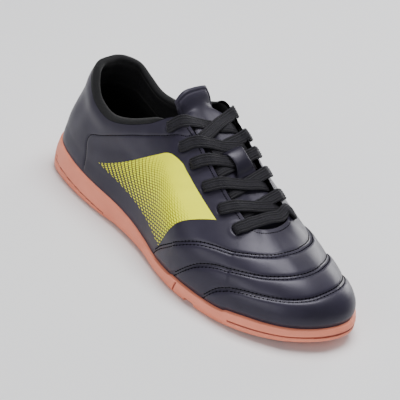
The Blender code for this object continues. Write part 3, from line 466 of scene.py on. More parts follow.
# tongue rows: outer and inner are the shares round the shoe of the two points a row spans and up
# their share of the ray; beyond them the free end: x (share of LENGTH), y and half its width
# (shares of BALL_WIDTH), height of its outer side, crown and inner side (shares of INSTEP_HEIGHT)
TONGUE_ROWS = (
    ("outer", "inner", "up"),
    (0.408, 0.577, 0.80),
    (0.404, 0.581, 0.90),
    (0.392, 0.592, 1.00),
    (0.372, 0.612, 1.00),
    (0.350, 0.635, 1.00),
    (0.326, 0.660, 1.00),
    (0.302, 0.686, 1.00),
    (0.278, 0.712, 1.00),
    (0.256, 0.736, 1.00),
)
TONGUE_END = (
    ("x", "y", "half", "outer", "crown", "inner"),
    (-0.086, 0.040, 0.150, 0.912, 1.008, 0.925),
    (-0.103, 0.024, 0.144, 0.995, 1.078, 1.040),
    (-0.114, 0.008, 0.136, 1.042, 1.122, 1.108),
)
TONGUE_ACROSS = 9
TONGUE_CROWN = -0.03
TUCK = 0.10


def under_edge(s, t, drop):
    """A point under the throat's wall: on its inner side at share t, stepped down by drop."""
    face, normal = skin(np.array([s]), np.array([t]))
    wall = wall_thickness(np.array([s]), np.array([t]))[0]
    return (face - normal * (wall + drop))[0]


def tongue_row(outer, inner, up):
    """Points across the tongue between two points under the throat, arched through the gap."""
    edge = under_edge(outer, up, TONGUE_DROP)
    far = under_edge(inner, up, TONGUE_DROP)
    tuck = under_edge(outer, up - TUCK, TONGUE_DROP)
    far_tuck = under_edge(inner, up - TUCK, TONGUE_DROP)
    middle = (edge + far) / 2
    climb = unit(edge - tuck)[2] + unit(far - far_tuck)[2]
    middle[2] += np.linalg.norm(far - edge) * 0.5 * climb * TONGUE_CROWN
    keys = np.array([0.0, 0.16, 0.5, 0.84, 1.0])
    marks = np.array([tuck, edge, middle, far, far_tuck])
    at = np.linspace(0, 1, TONGUE_ACROSS)
    return hermite(keys, marks, np.gradient(marks, keys, axis=0), at)


def tongue_face():
    """Outer face of the tongue, rows from the vamp to the free end."""
    rows = [tongue_row(outer, inner, up) for outer, inner, up in TONGUE_ROWS[1:]]
    u = np.linspace(-1, 1, TONGUE_ACROSS)
    for x, y, half, outer, crown, inner in TONGUE_END[1:]:
        side = np.where(u < 0, outer, inner)
        rows.append(np.column_stack([
            np.full(TONGUE_ACROSS, x) * LENGTH,
            (y + half * u) * BALL_WIDTH,
            (side + (crown - side) * (1 - np.abs(u) ** 2.6)) * INSTEP_HEIGHT,
        ]))
    return np.array(rows)


# eyelets from the top pair down: outer and inner are shares round the shoe, outer_up and inner_up
# their share of the ray, row the tongue row they sit beside
EYELETS = (
    ("outer", "outer_up", "inner", "inner_up", "row"),
    (0.241, 0.92, 0.750, 0.92, 8.45),
    (0.274, 0.87, 0.716, 0.90, 7.10),
    (0.294, 0.88, 0.696, 0.90, 6.33),
    (0.314, 0.87, 0.673, 0.90, 5.48),
    (0.338, 0.88, 0.647, 0.90, 4.50),
    (0.364, 0.87, 0.621, 0.90, 3.40),
)

# the keeper strap from front to back: tongue row, share of its full height, share of its width
KEEPER_MARKS = (
    ("row", "share", "wide"),
    (6.42, 0.14, 1.25),
    (6.34, 0.30, 1.20),
    (6.22, 0.82, 1.08),
    (6.06, 1.03, 0.98),
    (5.90, 1.06, 0.92),
    (5.74, 0.98, 0.94),
    (5.58, 0.72, 1.05),
    (5.44, 0.28, 1.18),
    (5.32, 0.12, 1.26),
)
KEEPER_WIDE = 0.0135
TONGUE_GRID = tongue_face()


def loft_shift():
    """Step from the loft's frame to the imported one, read off the insole's box."""
    low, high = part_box("insole")
    xs = (RING_X - NORMAL_X * INSOLE_INSET)[::FINE // COLUMNS]
    ys = (RING_Y - NORMAL_Y * INSOLE_INSET)[::FINE // COLUMNS]
    return np.array([(low.x + high.x - xs.min() - xs.max()) / 2,
                     (low.y + high.y - ys.min() - ys.max()) / 2, 0.0])


SHIFT = loft_shift()


# meshes
def mesh_piece(name, points, faces, looks, smooth=True, uv=None, slots=None):
    """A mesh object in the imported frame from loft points, riding on the root body."""
    mesh = bpy.data.meshes.new(name)
    mesh.from_pydata((np.asarray(points) + SHIFT).tolist(), [], [tuple(f) for f in faces])
    if uv is not None:
        layer = mesh.uv_layers.new(name="UVMap")
        corner = np.zeros(len(mesh.loops), np.int32)
        mesh.loops.foreach_get("vertex_index", corner)
        layer.data.foreach_set("uv", np.asarray(uv, np.float32)[corner].ravel())
    for made in looks if isinstance(looks, list) else [looks]:
        mesh.materials.append(made)
    if slots is not None:
        mesh.polygons.foreach_set("material_index", np.asarray(slots, np.int32))
    mesh.polygons.foreach_set("use_smooth", np.ones(len(mesh.polygons), bool) & np.asarray(smooth, bool))
    mesh.update()
    thing = bpy.data.objects.new(name, mesh)
    bpy.context.scene.collection.objects.link(thing)
    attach(thing, "root")
    return thing


def grid_faces(rows, across, wrap=False, flip=False, first=0):
    """Quads of a grid of points; wrap closes it across."""
    r = np.arange(rows - 1)[:, None]
    c = np.arange(across if wrap else across - 1)[None, :]
    a = first + r * across + c
    b = first + r * across + (c + 1) % across
    d = a + across
    e = b + across
    quads = np.stack([a, b, e, d], axis=-1).reshape(-1, 4)
    return quads[:, ::-1] if flip else quads


# materials
def look(name, colour, rough, **more):
    """A Principled material with the given constant sockets."""
    made = bpy.data.materials.new(name)
    made.use_nodes = True
    shader = made.node_tree.nodes["Principled BSDF"]
    shader.inputs["Base Color"].default_value = (*colour, 1.0)
    shader.inputs["Roughness"].default_value = rough
    for socket, value in more.items():
        shader.inputs[socket.replace("_", " ")].default_value = value
    return made


def node(made, kind, **values):
    """A node in a material with the given attributes or input values."""
    new = made.node_tree.nodes.new(kind)
    for key, value in values.items():
        if hasattr(new, key):
            setattr(new, key, value)
        else:
            new.inputs[key.replace("_", " ")].default_value = value
    return new


def link(made, source, target):
    """Join an output socket to an input socket."""
    made.node_tree.links.new(source, target)


def feed(made, source, socket):
    """Join an output to a socket of the material's shader."""
    link(made, source, made.node_tree.nodes["Principled BSDF"].inputs[socket])


def over_object(made, kind, **values):
    """A texture node over the object's own coordinates."""
    new = node(made, kind, **values)
    link(made, node(made, "ShaderNodeTexCoord").outputs["Object"], new.inputs["Vector"])
    return new


def noise(made, scale, detail):
    """Noise over the object."""
    return over_object(made, "ShaderNodeTexNoise", Scale=scale, Detail=detail, Roughness=0.55).outputs["Fac"]


def cells(made, scale, **values):
    """Cell distances over the object."""
    return over_object(made, "ShaderNodeTexVoronoi", Scale=scale, **values).outputs["Distance"]


def blend_colour(made, factor, first, second, low=0.3, high=0.7):
    """Two colours mixed by a factor stretched between low and high, into the base colour."""
    ramp = node(made, "ShaderNodeValToRGB")
    for mark, place, colour in zip(ramp.color_ramp.elements, (low, high), (first, second)):
        mark.position = place
        mark.color = (*colour, 1.0)
    link(made, factor, ramp.inputs["Fac"])
    feed(made, ramp.outputs["Color"], "Base Color")


def vary_rough(made, factor, low, high):
    """Roughness between low and high by a factor."""
    spread = node(made, "ShaderNodeMapRange", To_Min=low, To_Max=high)
    link(made, factor, spread.inputs["Value"])
    feed(made, spread.outputs["Result"], "Roughness")


def bump(made, height, strength, distance, below=None):
    """A bump from a height, chained on one below it."""
    new = node(made, "ShaderNodeBump", Strength=strength, Distance=distance)
    link(made, height, new.inputs["Height"])
    if below is not None:
        link(made, below.outputs["Normal"], new.inputs["Normal"])
    feed(made, new.outputs["Normal"], "Normal")
    return new


def pebbles(made):
    """The leather's fine pebble grain, as a bump."""
    return bump(made, cells(made, 1150.0, feature="DISTANCE_TO_EDGE"), 0.16, 0.00025)


def leather_look(name, colour=(0.0150, 0.0130, 0.0225), rough=(0.34, 0.47)):
    """Smooth coated leather: fine pebble grain, faint pores, slow tone changes."""
    made = look(name, colour, 0.42, Coat_Weight=0.04, Coat_Roughness=0.30, Specular_IOR_Level=0.34,
                Specular_Tint=(0.90, 0.87, 1.0, 1.0))
    blend_colour(made, noise(made, 38.0, 4.0), colour, [c * 1.55 for c in colour])
    vary_rough(made, noise(made, 120.0, 5.0), *rough)
    pores = bump(made, noise(made, 2600.0, 2.0), 0.10, 0.0002, pebbles(made))
    bump(made, noise(made, 170.0, 3.0), 0.10, 0.0006, pores)
    return made


def cloth_look(name, colour, scale, rough=0.9):
    """Fine black knit: near even cells of yarn with fuzz, painted lighter on their raised middles and darker
    in the sunk gaps as painted light and shade.
    """
    made = look(name, colour, rough, Sheen_Weight=0.10, Sheen_Roughness=0.5, Specular_IOR_Level=0.25)
    yarn = cells(made, scale, Randomness=0.25)
    # painted light on the middle of each yarn cell and painted shade in the sunk gaps between them
    blend_colour(made, yarn, [c * 1.6 for c in colour], [c * 0.5 for c in colour], 0.1, 0.7)
    bump(made, noise(made, 3000.0, 2.0), 0.2, 0.0002, bump(made, yarn, 0.5, -0.0004))
    return made


def rubber_look(name, colour, dark):
    """Gum rubber: slow tone drift, faint moulding speckle."""
    made = look(name, colour, 0.5, Specular_IOR_Level=0.4)
    blend_colour(made, noise(made, 26.0, 5.0), dark, colour, 0.15, 0.62)
    vary_rough(made, noise(made, 90.0, 4.0), 0.42, 0.62)
    speckle = bump(made, noise(made, 1500.0, 3.0), 0.12, 0.0002)
    bump(made, noise(made, 220.0, 2.0), 0.05, 0.0006, speckle)
    return made


def thread_look(name):
    """Dull black waxed thread with a fine twist."""
    made = look(name, (0.0008, 0.0008, 0.0010), 0.95, Specular_IOR_Level=0.04)
    bump(made, noise(made, 3200.0, 2.0), 0.3, 0.0002)
    return made


def lace_look(name, first_tone, second_tone):
    """Flat braided lace: short yarns in staggered rows along its ribs, with painted shade in the gaps
    between them.
    """
    made = look(name, (0.005, 0.005, 0.006), 0.72, Sheen_Weight=0.03, Sheen_Roughness=0.45,
                Specular_IOR_Level=0.30)
    # the near-black mortar is painted shade in the sunk gaps between the yarns
    yarn = node(made, "ShaderNodeTexBrick", offset=0.5, Scale=1.0, Mortar_Size=0.00022, Brick_Width=0.0013,
                Row_Height=0.00085, Mortar_Smooth=0.6, Bias=0.0, Color1=(*first_tone, 1.0),
                Color2=(*second_tone, 1.0), Mortar=(0.0010, 0.0010, 0.0014, 1.0))
    link(made, node(made, "ShaderNodeUVMap", uv_map="UVMap").outputs["UV"], yarn.inputs["Vector"])
    feed(made, yarn.outputs["Color"], "Base Color")
    rows = bump(made, yarn.outputs["Fac"], 0.6, -0.0003)
    bump(made, noise(made, 2500.0, 2.0), 0.25, 0.0002, rows)
    return made


LEATHER = leather_look("shoe_leather")
# the tongue's leather is a tenth darker than the upper's as painted shade under the laces, and rougher
TONGUE_LEATHER = leather_look("tongue_cover_leather", (0.0135, 0.0118, 0.0200), (0.44, 0.58))
KEEPER_LEATHER = leather_look("keeper_strap_leather", (0.0095, 0.0082, 0.0145), (0.34, 0.46))
# near-black leather of the eyelet funnels: painted shade in the punched holes
HOLE_SHADE_LEATHER = leather_look("eyelet_hole_shade", (0.003, 0.003, 0.004), (0.55, 0.7))
LINING = cloth_look("collar_knit", (0.0045, 0.0045, 0.0055), 900.0)
FOOTBED = cloth_look("footbed_cloth", (0.008, 0.008, 0.009), 700.0)
# the thread's black also colours the discs of painted shade at the needle holes
THREAD = thread_look("stitch_thread")
GUM = rubber_look("gum_sole", (0.86, 0.275, 0.170), (0.73, 0.205, 0.120))
# darker gum for the floors and walls of the grooves and notches: painted shade
GUM_GROOVE_SHADE = rubber_look("gum_groove_shade", (0.30, 0.055, 0.028), (0.22, 0.040, 0.020))
LACE = lace_look("lace_braid", (0.0100, 0.0086, 0.0155), (0.0170, 0.0148, 0.0250))
# near-black lace for the grooves between the ribs and the cut ends: painted shade
LACE_GROOVE_SHADE = lace_look("lace_groove_shade", (0.0006, 0.0006, 0.0008), (0.0010, 0.0010, 0.0013))


def print_look():
    """Lime ink pressed into the leather, following its grain."""
    made = look("lime_print", (0.85, 0.88, 0.004), 0.50, Specular_IOR_Level=0.15)
    blend_colour(made, noise(made, 60.0, 4.0), (0.94, 0.96, 0.004), (0.99, 0.99, 0.014), 0.2, 0.8)
    vary_rough(made, noise(made, 150.0, 3.0), 0.38, 0.58)
    pebbles(made)
    return made


LIME = print_look()

# the leather upper
SHELL_COLUMNS = 816
SHELL_ROWS = 112
BOUND = 0.038          # share of the ray that the collar binding takes from the leather
# stitched edge of the quarter panel on the outer side, and its mirror on the inner side
QUARTER_LINE = (
    ("round", "up"),
    (0.1045, 0.05), (0.1010, 0.26), (0.0970, 0.40), (0.1010, 0.52), (0.1170, 0.63), (0.1430, 0.76),
    (0.1760, 0.83), (0.2100, 0.84), (0.2440, 0.86), (0.2700, 0.93), (0.2760, 0.99),
)
# listed soft dents and folds of the leather: where, the way each runs, its size and depth
CREASES = (
    ("s", "t", "turn", "long", "wide", "deep"),
    (0.155, 0.60, 12, 0.020, 0.0040, 0.0005),
    (0.205, 0.52, -14, 0.018, 0.0035, 0.0004),
    (0.262, 0.55, 64, 0.014, 0.0030, 0.0004),
    (0.300, 0.72, 58, 0.013, 0.0025, 0.0004),
    (0.060, 0.42, 78, 0.016, 0.0050, 0.0005),
    (0.940, 0.42, 96, 0.016, 0.0050, 0.0004),
    (0.830, 0.55, 166, 0.020, 0.0045, 0.0003),
    (0.760, 0.50, 14, 0.022, 0.0045, 0.0002),
    (0.700, 0.62, 118, 0.014, 0.0035, 0.0002),
)
SEAM_PAIR = 0.0013     # half the gap between the two stitch rows of a vamp seam
RAY = np.linalg.norm(TOP - FOOT, axis=1)


def ray_length(s):
    """Rough length of the ray, to turn shares of it into metres."""
    return round_at(RAY, s)


def fine_relief(s, t):
    """Relief of the leather beyond the CAD's: stitched seam channels and the roll of each band."""
    long = ray_length(s)
    added = np.zeros_like(t)
    edges = [seam_up(seam, s) for seam in SEAMS] + [np.full_like(s, -0.10)]
    for edge, below in zip(edges[:-1], edges[1:]):
        away = (t - edge) * long
        channels = bell(away + SEAM_PAIR, 0.00055) + bell(away - SEAM_PAIR, 0.00055)
        added = added + (0.00024 * bell(away, 0.0006) - 0.00020 * channels) * (edge > 0.0)
        wide = np.maximum(edge - below, 0.02)
        u = np.clip((edge - t) / wide, 0, 1)
        shelf = (1 - np.exp(-u / 0.07)) * (1 - u) ** 1.2
        roll = (shelf * 0.0012 - 0.0004 * np.sin(np.pi * u ** 1.5)) * ease(wide / 0.22)
        added = added + roll * ((t < edge) & (t > below) & (edge > 0))
    return added * ease(t / 0.05) + 0.0012 * (1 - ease(t / 0.22))


def curve_points(table, count):
    """Even points along a given (round, up) line, and its length."""
    s = column(table, "round")
    t = column(table, "up")
    keys = np.arange(len(s), dtype=float)
    at = np.linspace(0, keys[-1], count * 6)
    fine_s = hermite(keys, s, np.gradient(s), at)
    fine_t = hermite(keys, t, np.gradient(t), at)
    run = run_along(skin(fine_s, fine_t)[0])
    even = np.linspace(0, run[-1], count)
    return np.interp(even, run, fine_s), np.interp(even, run, fine_t), run[-1]


def seam_points(seam, step):
    """Shares along a vamp seam at even steps of its length, above the sole's edge."""
    fine_s = np.linspace(column(seam, "round")[0], column(seam, "round")[-1], 1200)
    fine_t = seam_up(seam, fine_s)
    fine_s = fine_s[fine_t > 0.03]
    fine_t = fine_t[fine_t > 0.03]
    run = run_along(skin(fine_s, fine_t)[0])
    even = np.arange(0, run[-1], step)
    return np.interp(even, run, fine_s), np.interp(even, run, fine_t)


QUARTER_S, QUARTER_T, QUARTER_RUN = curve_points(QUARTER_LINE, 90)
QUARTER_XYZ = skin(QUARTER_S, QUARTER_T)[0]
INNER_XYZ = skin(1.0 - QUARTER_S, QUARTER_T)[0]


def line_distance(points, line, chunk=4000):
    """Distance of each point to a polyline's vertices joined by segments."""
    start = line[:-1]
    step = line[1:] - start
    size = (step ** 2).sum(axis=1)
    made = np.empty(len(points))
    for k in range(0, len(points), chunk):
        part = points[k:k + chunk, None, :] - start[None]
        u = np.clip((part * step[None]).sum(axis=2) / size, 0, 1)
        gap = part - u[..., None] * step[None]
        made[k:k + chunk] = np.sqrt((gap ** 2).sum(axis=2).min(axis=1))
    return made


def eyelet_places():
    """Shares round and up of every eyelet, outer and inner by turns."""
    return [place for row in EYELETS[1:] for place in (row[:2], row[2:4])]


def shell_relief(points):
    """Quarter seams, eyelet pulls and creases, worked out from real distances."""
    added = np.zeros(len(points))
    for line in (QUARTER_XYZ, INNER_XYZ):
        held = (points > line.min(axis=0) - 0.004) & (points < line.max(axis=0) + 0.004)
        near = np.where(held.all(axis=1))[0]
        added[near] -= 0.00045 * bell(line_distance(points[near], line), 0.0007)
    for a, b in eyelet_places():
        away = np.linalg.norm(points - over_upper(a, b, 0.0)[0], axis=1)
        added += 0.00035 * bell(away - 0.0048, 0.0013) - 0.0014 * bell(away, 0.0021)
    for a, b, turn, long, wide, deep in CREASES[1:]:
        centre, normal = over_upper(a, b, 0.0)
        ahead = unit(over_upper(a + 0.002, b, 0.0)[0] - centre)
        up = np.cross(normal, ahead)
        way = ahead * math.cos(math.radians(turn)) + up * math.sin(math.radians(turn))
        gap = points - centre
        u = gap @ way / long
        bow = gap @ np.cross(normal, way) / wide - 0.35 * u ** 2
        fold = bell(bow, 1.0) - 0.6 * bell(bow - 2.0, 1.0)
        added -= deep * bell(u, 1.0) * fold * (np.abs(gap @ normal) < 0.02)
    return added


def dressed_skin(s, t, lift=0.0):
    """Outer face of the leather with all of its relief, and its normals."""
    points, normals = skin(s, t)
    added = fine_relief(s, t) + shell_relief(points) + lift
    return points + normals * added[:, None], normals


def shell_top(s):
    """Share of the ray where the leather ends: short of the rim at the padded collar."""
    return 1.0 - BOUND * collar_share(s)


def build_shell():
    """Outer leather from inside the sole's cup to the rim, its turned cut edge a dull black."""
    s = np.arange(SHELL_COLUMNS) / SHELL_COLUMNS
    t = np.linspace(0, 1, SHELL_ROWS)[:, None] * shell_top(s)[None, :]
    points, normals = dressed_skin(np.tile(s, SHELL_ROWS), t.ravel())
    rows = points.reshape(SHELL_ROWS, SHELL_COLUMNS, 3)
    facing = normals[-SHELL_COLUMNS:]
    climb = unit(rows[-1] - rows[-2])
    thick = (WALL * (1 - 0.55 * collar_share(s)))[:, None]
    edge = []
    for k in range(1, 8):
        angle = np.pi * k / 7
        over = climb * np.sin(angle) * thick * 0.38
        edge.append(rows[-1] + over - facing * (1 - np.cos(angle)) / 2 * thick)
    edge.append(edge[-1] - climb * 0.004)
    cup = rows[0] - np.array([0, 0, 0.004])
    stack = np.concatenate([cup[None], rows, np.array(edge)])
    faces = grid_faces(len(stack), SHELL_COLUMNS, True)
    cut = len(edge) * SHELL_COLUMNS
    slots = [0] * (len(faces) - cut) + [1] * cut
    piece = mesh_piece("upper_leather", stack.reshape(-1, 3), faces, [LEATHER, THREAD], slots=slots)
    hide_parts("upper")


def build_lining():
    """Textile binding round the collar and the lining down inside, with a thin back to the leather."""
    many = 560
    s = np.arange(many) / many
    ones = np.ones(many)
    share = collar_share(s)
    start = shell_top(s) - 0.012
    rows = []
    for u in np.linspace(0, 1, 8):
        face, normal = skin(s, start + (1.0 - start) * u)
        sink = 0.0009 * (1 - ease(u / 0.35)) * share + 0.0011 * (1 - share)
        rows.append(face - normal * sink[:, None])
    rim, normal = skin(s, ones)
    climb = unit(rim - skin(s, ones * 0.97)[0])
    thick = wall_thickness(s, ones)
    for k in range(1, 10):
        angle = np.pi * k / 9
        out = (1 - np.cos(angle)) / 2
        lift = np.sin(angle) * (0.40 * share + 0.08 * (1 - share)) * thick - 0.0008 * (1 - share)
        sink = out * thick + 0.0011 * (1 - share) * (1 - out)
        rows.append(rim - normal * sink[:, None] + climb * lift[:, None])
    for t in np.linspace(0.985, 0, 46):
        face, inward = skin(s, ones * t)
        wall = wall_thickness(s, ones * t) + 0.0003 * np.sin(t * 40) * share * ease((t - 0.3) / 0.3)
        rows.append(face - inward * wall[:, None])
    rows.append(np.column_stack([rows[-1][:, :2], round_at(BED, s)]))
    stack = np.array(rows)
    piece = mesh_piece("collar_lining", stack.reshape(-1, 3), grid_faces(len(stack), many, True), LINING)


# stitches
STITCH_STEP = 0.0029
QUARTER_STEP = 0.0030
STITCH_WIDE = 0.00100
STITCH_HIGH = 0.0006
# half sizes of the black disc between two stitches: painted shade of the needle hole
NEEDLE_SHADE = (0.00055, 0.00045)
# rings of one stitch: place along it and size, shares
STITCH_RINGS = ((-0.5, 0.35), (-0.34, 0.9), (0.0, 1.0), (0.34, 0.9), (0.5, 0.35))
# shares round the shoe that the throat's row spans, and its step in from the edge
THROAT_STITCHES = (0.268, 0.735)
THROAT_INSET = 0.0024


def add_stitches(points, faces, s, t, long, lift=0.0):
    """Rounded stitches at shares on the upper, with a black disc of painted shade at the needle hole between
    each two.
    """
    centres, normals = dressed_skin(s, t)
    ways = unit(np.gradient(centres, axis=0))
    sides = np.cross(normals, ways)
    for centre, way, side, normal in zip(centres, ways, unit(sides), normals):
        faces.extend(grid_faces(len(STITCH_RINGS), 6, True, first=len(points)).tolist())
        for along, size in STITCH_RINGS:
            dip = STITCH_HIGH * 0.8 * (abs(along) * 2) ** 2
            for k in range(6):
                angle = k * math.pi / 3
                points.append(centre + way * along * long + side * math.cos(angle) * STITCH_WIDE / 2 * size
                              + normal * (math.sin(angle) * STITCH_HIGH / 2 * size + lift - dip))
    # black discs between the stitches: painted shade of the needle holes
    for k in range(len(centres) - 1):
        middle = (centres[k] + centres[k + 1]) / 2 + normals[k] * 0.00010
        faces.append(tuple(range(len(points), len(points) + 8)))
        for step in range(8):
            angle = step * math.pi / 4
            points.append(middle + ways[k] * math.cos(angle) * NEEDLE_SHADE[0]
                          + sides[k] * math.sin(angle) * NEEDLE_SHADE[1])


def build_stitches():
    """Two rows on each vamp seam, one along both quarter edges and one round the throat."""
    points = []
    faces = []
    for seam in SEAMS:
        s, t = seam_points(seam, STITCH_STEP)
        add_stitches(points, faces, s, t - SEAM_PAIR / ray_length(s), 0.0018, 0.0002)
        s = s + 0.0014
        add_stitches(points, faces, s, seam_up(seam, s) + SEAM_PAIR / ray_length(s), 0.0018, 0.0002)
    s, t, _ = curve_points(QUARTER_LINE, int(QUARTER_RUN / QUARTER_STEP))
    keep = (t > 0.06) & (t < 0.965)
    add_stitches(points, faces, s[keep], t[keep], 0.0021)
    add_stitches(points, faces, 1.0 - s[keep], t[keep], 0.0021)
    fine = np.linspace(*THROAT_STITCHES, 900)
    run = run_along(skin(fine, np.ones(900))[0])
    at = np.interp(np.arange(0, run[-1], STITCH_STEP), run, fine)
    add_stitches(points, faces, at, 1.0 - THROAT_INSET / ray_length(at), 0.0019)
    piece = mesh_piece("seam_stitches", points, faces, THREAD)


# the lime field on the outer quarter
# corners of the field in (round, up): lace side top and bottom, then heel side bottom and top
FIELD = ((0.284, 0.800), (0.338, 0.770), (0.262, 0.110), (0.128, 0.300))
FIELD_TILES = (46, 30)
FIELD_SOLID = 0.30


def field_point(u, v):
    """Shares on the upper for a place in the field: u away from the laces, v across it."""
    a, b, c, d = (np.array(corner) for corner in FIELD)
    near = a[None] * (1 - v)[:, None] + b[None] * v[:, None]
    far = d[None] * (1 - v)[:, None] + c[None] * v[:, None]
    mix = near * (1 - u)[:, None] + far * u[:, None]
    bow = np.sin(np.pi * u)
    return mix[:, 0] - 0.008 * bow * (1 - v), mix[:, 1] + 0.055 * bow * (1 - v) + 0.02 * bow * v


def build_field():
    """A printed panel of lime lozenges, joined by the laces and shrinking towards the heel."""
    long, wide = FIELD_TILES
    places = []
    faces = []
    for i in range(long + 1):
        for j in range(i % 2, wide + 1, 2):
            u, v = i / long, j / wide
            size = 1.0 - 0.50 * max(0.0, u - FIELD_SOLID) / (1 - FIELD_SOLID)
            faces.append(tuple(range(len(places), len(places) + 4)))
            a, b = size / long, size / wide
            places += [(u - a, v), (u, v - b), (u + a, v), (u, v + b)]
    points = dressed_skin(*field_point(*np.clip(places, 0.0, 1.0).T), 0.00016)[0]
    piece = mesh_piece("quarter_print", points, faces, LIME)


# tongue
def fine_grid(coarse, rows, across):
    """A coarse grid of points read finely with eased cubics both ways."""
    def spread(values, count):
        keys = np.arange(len(values), dtype=float)
        return hermite(keys, values, np.gradient(values, axis=0), np.linspace(0, keys[-1], count))
    return spread(spread(coarse, rows).transpose(1, 0, 2), across).transpose(1, 0, 2)


def grid_normals(face):
    """Unit normals of a grid, upward in its middle."""
    normal = unit(np.cross(np.gradient(face, axis=0), np.gradient(face, axis=1)))
    return -normal if normal[:, face.shape[1] // 2, 2].mean() < 0 else normal


def build_tongue():
    """Padded tongue with a rounded rim and a stitched hem."""
    rows, across = 150, 72
    face = fine_grid(TONGUE_GRID, rows, across)
    normal = grid_normals(face)
    aside = np.linalg.norm(np.diff(face, axis=1), axis=2).cumsum(axis=1)
    aside = np.concatenate([np.zeros((rows, 1)), aside], axis=1)
    along = np.linalg.norm(np.diff(face, axis=0), axis=2)[::-1].cumsum(axis=0)[::-1]
    along = np.concatenate([along, np.zeros((1, across))])
    near = np.minimum(np.minimum(aside, aside[:, -1:] - aside), along)
    half = TONGUE_THICK / 2
    rim = np.sqrt(np.clip(1 - (1 - np.clip(near / half, 0, 1)) ** 2, 0, 1))
    middle = face - normal * half
    pad = 0.0003 * ease((near - 0.003) / 0.006)
    hem = -0.0004 * bell(near - 0.0032, 0.0006) * (along < 0.05)
    front = middle + normal * (rim * half + pad + hem)[..., None]
    back = middle - normal * (rim * half)[..., None]
    inner = grid_faces(rows, across, flip=True, first=rows * across)
    faces = np.concatenate([grid_faces(rows, across), inner])
    uv = np.concatenate([np.stack([aside, along], axis=-1).reshape(-1, 2)] * 2)
    piece = mesh_piece("tongue_cover", np.concatenate([front, back]).reshape(-1, 3), faces,
                       [TONGUE_LEATHER, LINING], uv=uv, slots=np.repeat([0, 1], len(faces) // 2))
    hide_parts("tongue")


# laces and eyelets
# rings of one eyelet: radius and height over the leather
EYELET_RINGS = ((0.0031, -0.0004), (0.0025, -0.0007), (0.0021, -0.0014), (0.0018, -0.0021),
                (0.0001, -0.0022))


def over_tongue(row, across, lift):
    """A point above the CAD tongue grid: row number, share across, metres above its face."""
    rows, many = TONGUE_GRID.shape[:2]
    across = across * (many - 1)
    r = int(min(max(np.floor(row), 0), rows - 2))
    c = int(min(max(np.floor(across), 0), many - 2))
    u = row - r
    v = across - c
    corner = TONGUE_GRID[r, c]
    ahead = TONGUE_GRID[r + 1, c] - corner
    aside = TONGUE_GRID[r, c + 1] - corner
    twist = TONGUE_GRID[r + 1, c + 1] - TONGUE_GRID[r + 1, c] - aside
    normal = unit(np.cross(ahead + v * twist, aside + u * twist))
    if normal[2] < 0:
        normal = -normal
    return corner + u * ahead + v * aside + u * v * twist + normal * lift, normal


def over_upper(s, t, lift):
    """A point above the upper and the normal there."""
    face, normal = skin(np.array([s]), np.array([t]), lift)
    return face[0], normal[0]


def eased_path(marks, count):
    """Even points, facings and sizes through marks of (point, facing, wide, thick)."""
    rows = np.array([(*point, *facing, wide, thick) for point, facing, wide, thick in marks])
    steps = np.linalg.norm(np.diff(rows[:, :3], axis=0), axis=1)
    keys = np.concatenate([[0.0], np.cumsum(np.sqrt(steps))])
    fine = hermite(keys, rows, np.gradient(rows, keys, axis=0), np.linspace(0, keys[-1], count))
    return fine[:, :3], fine[:, 3:6], fine[:, 6:]


def ribbon(marks, count, ring, powers, ribs=0.0, bow=0.0):
    """A closed flat ribbon through marks: its points, faces, middle line, places across and ribs.
    powers square its section off, ribs is the height of its ribs and bow how far it is crowned."""
    line, facing, size = eased_path(marks, count)
    along = unit(np.gradient(line, axis=0))
    across = unit(np.cross(along, facing))
    up = np.cross(across, along)
    turn = np.arange(ring) / ring * 2 * np.pi
    a = np.sign(np.cos(turn)) * np.abs(np.cos(turn)) ** powers[0]
    b = np.sign(np.sin(turn)) * np.abs(np.sin(turn)) ** powers[1]
    wave = np.cos(a * np.pi * LACE_RIBS)
    b = b * (1 + ribs * wave * (np.abs(a) < 0.95))
    crown = (bow * (1 - a ** 2))[None, :, None]
    points = (line[:, None] + across[:, None] * (a[None, :, None] * 0.5 * size[:, None, 0:1])
              + up[:, None] * (b[None, :, None] * 0.5 * size[:, None, 1:2] + crown))
    faces = [tuple(f) for f in grid_faces(count, ring, True)]
    faces += [tuple(range(ring))[::-1], tuple((count - 1) * ring + k for k in range(ring))]
    return points.reshape(-1, 3), faces, line, a, wave


def fine_ribbon(marks, count=90, ring=64):
    """Points, faces, UVs and material slots of a ribbed flat lace through marks, its groove faces and end
    caps slotted for painted shade.
    """
    points, faces, line, a, wave = ribbon(marks, count, ring, (0.80, 0.55), ribs=0.24)
    uv = np.stack(np.broadcast_arrays(run_along(line)[:, None], (a * 0.5 * LACE_WIDE)[None]), axis=-1)
    # faces deep in the grooves between the ribs, and both end caps, take the painted shade
    low = ((wave + np.roll(wave, -1)) / 2 < -0.45).astype(int).tolist()
    return points, faces, uv.reshape(-1, 2), low * (count - 1) + [1, 1]


def eyelet_marks(place, normal, way, wide, thick, bulk=1.0):
    """The lace climbing out of its hole and folding over towards the throat."""
    rest = GAP * 2 + thick / 2
    over = place + way * 0.0018 + normal * rest * 1.45 * bulk
    return [
        (place - normal * 0.0028, -way, wide * 0.66, thick * 1.35),
        (place - way * 0.0014 + normal * rest * 0.8, normal - way * 1.5, wide * 0.90, thick * 1.42),
        (over, normal - way * 0.12, wide * 0.98, thick * 1.2 * bulk),
    ]


def crossing(place, way, points):
    """Where along a run of points it passes the plane through place square to way, as an index."""
    gaps = (points - place) @ way
    order = np.argsort(gaps)
    return float(np.interp(0.0, gaps[order], order.astype(float)))


def tongue_row_at(place, way, across):
    """Tongue row where a lace's plane crosses a share across."""
    rows = np.linspace(0, len(TONGUE_GRID) - 1, 111)
    points = np.array([over_tongue(r, across, 0.0)[0] for r in rows])
    return np.interp(crossing(place, way, points), np.arange(111), rows)


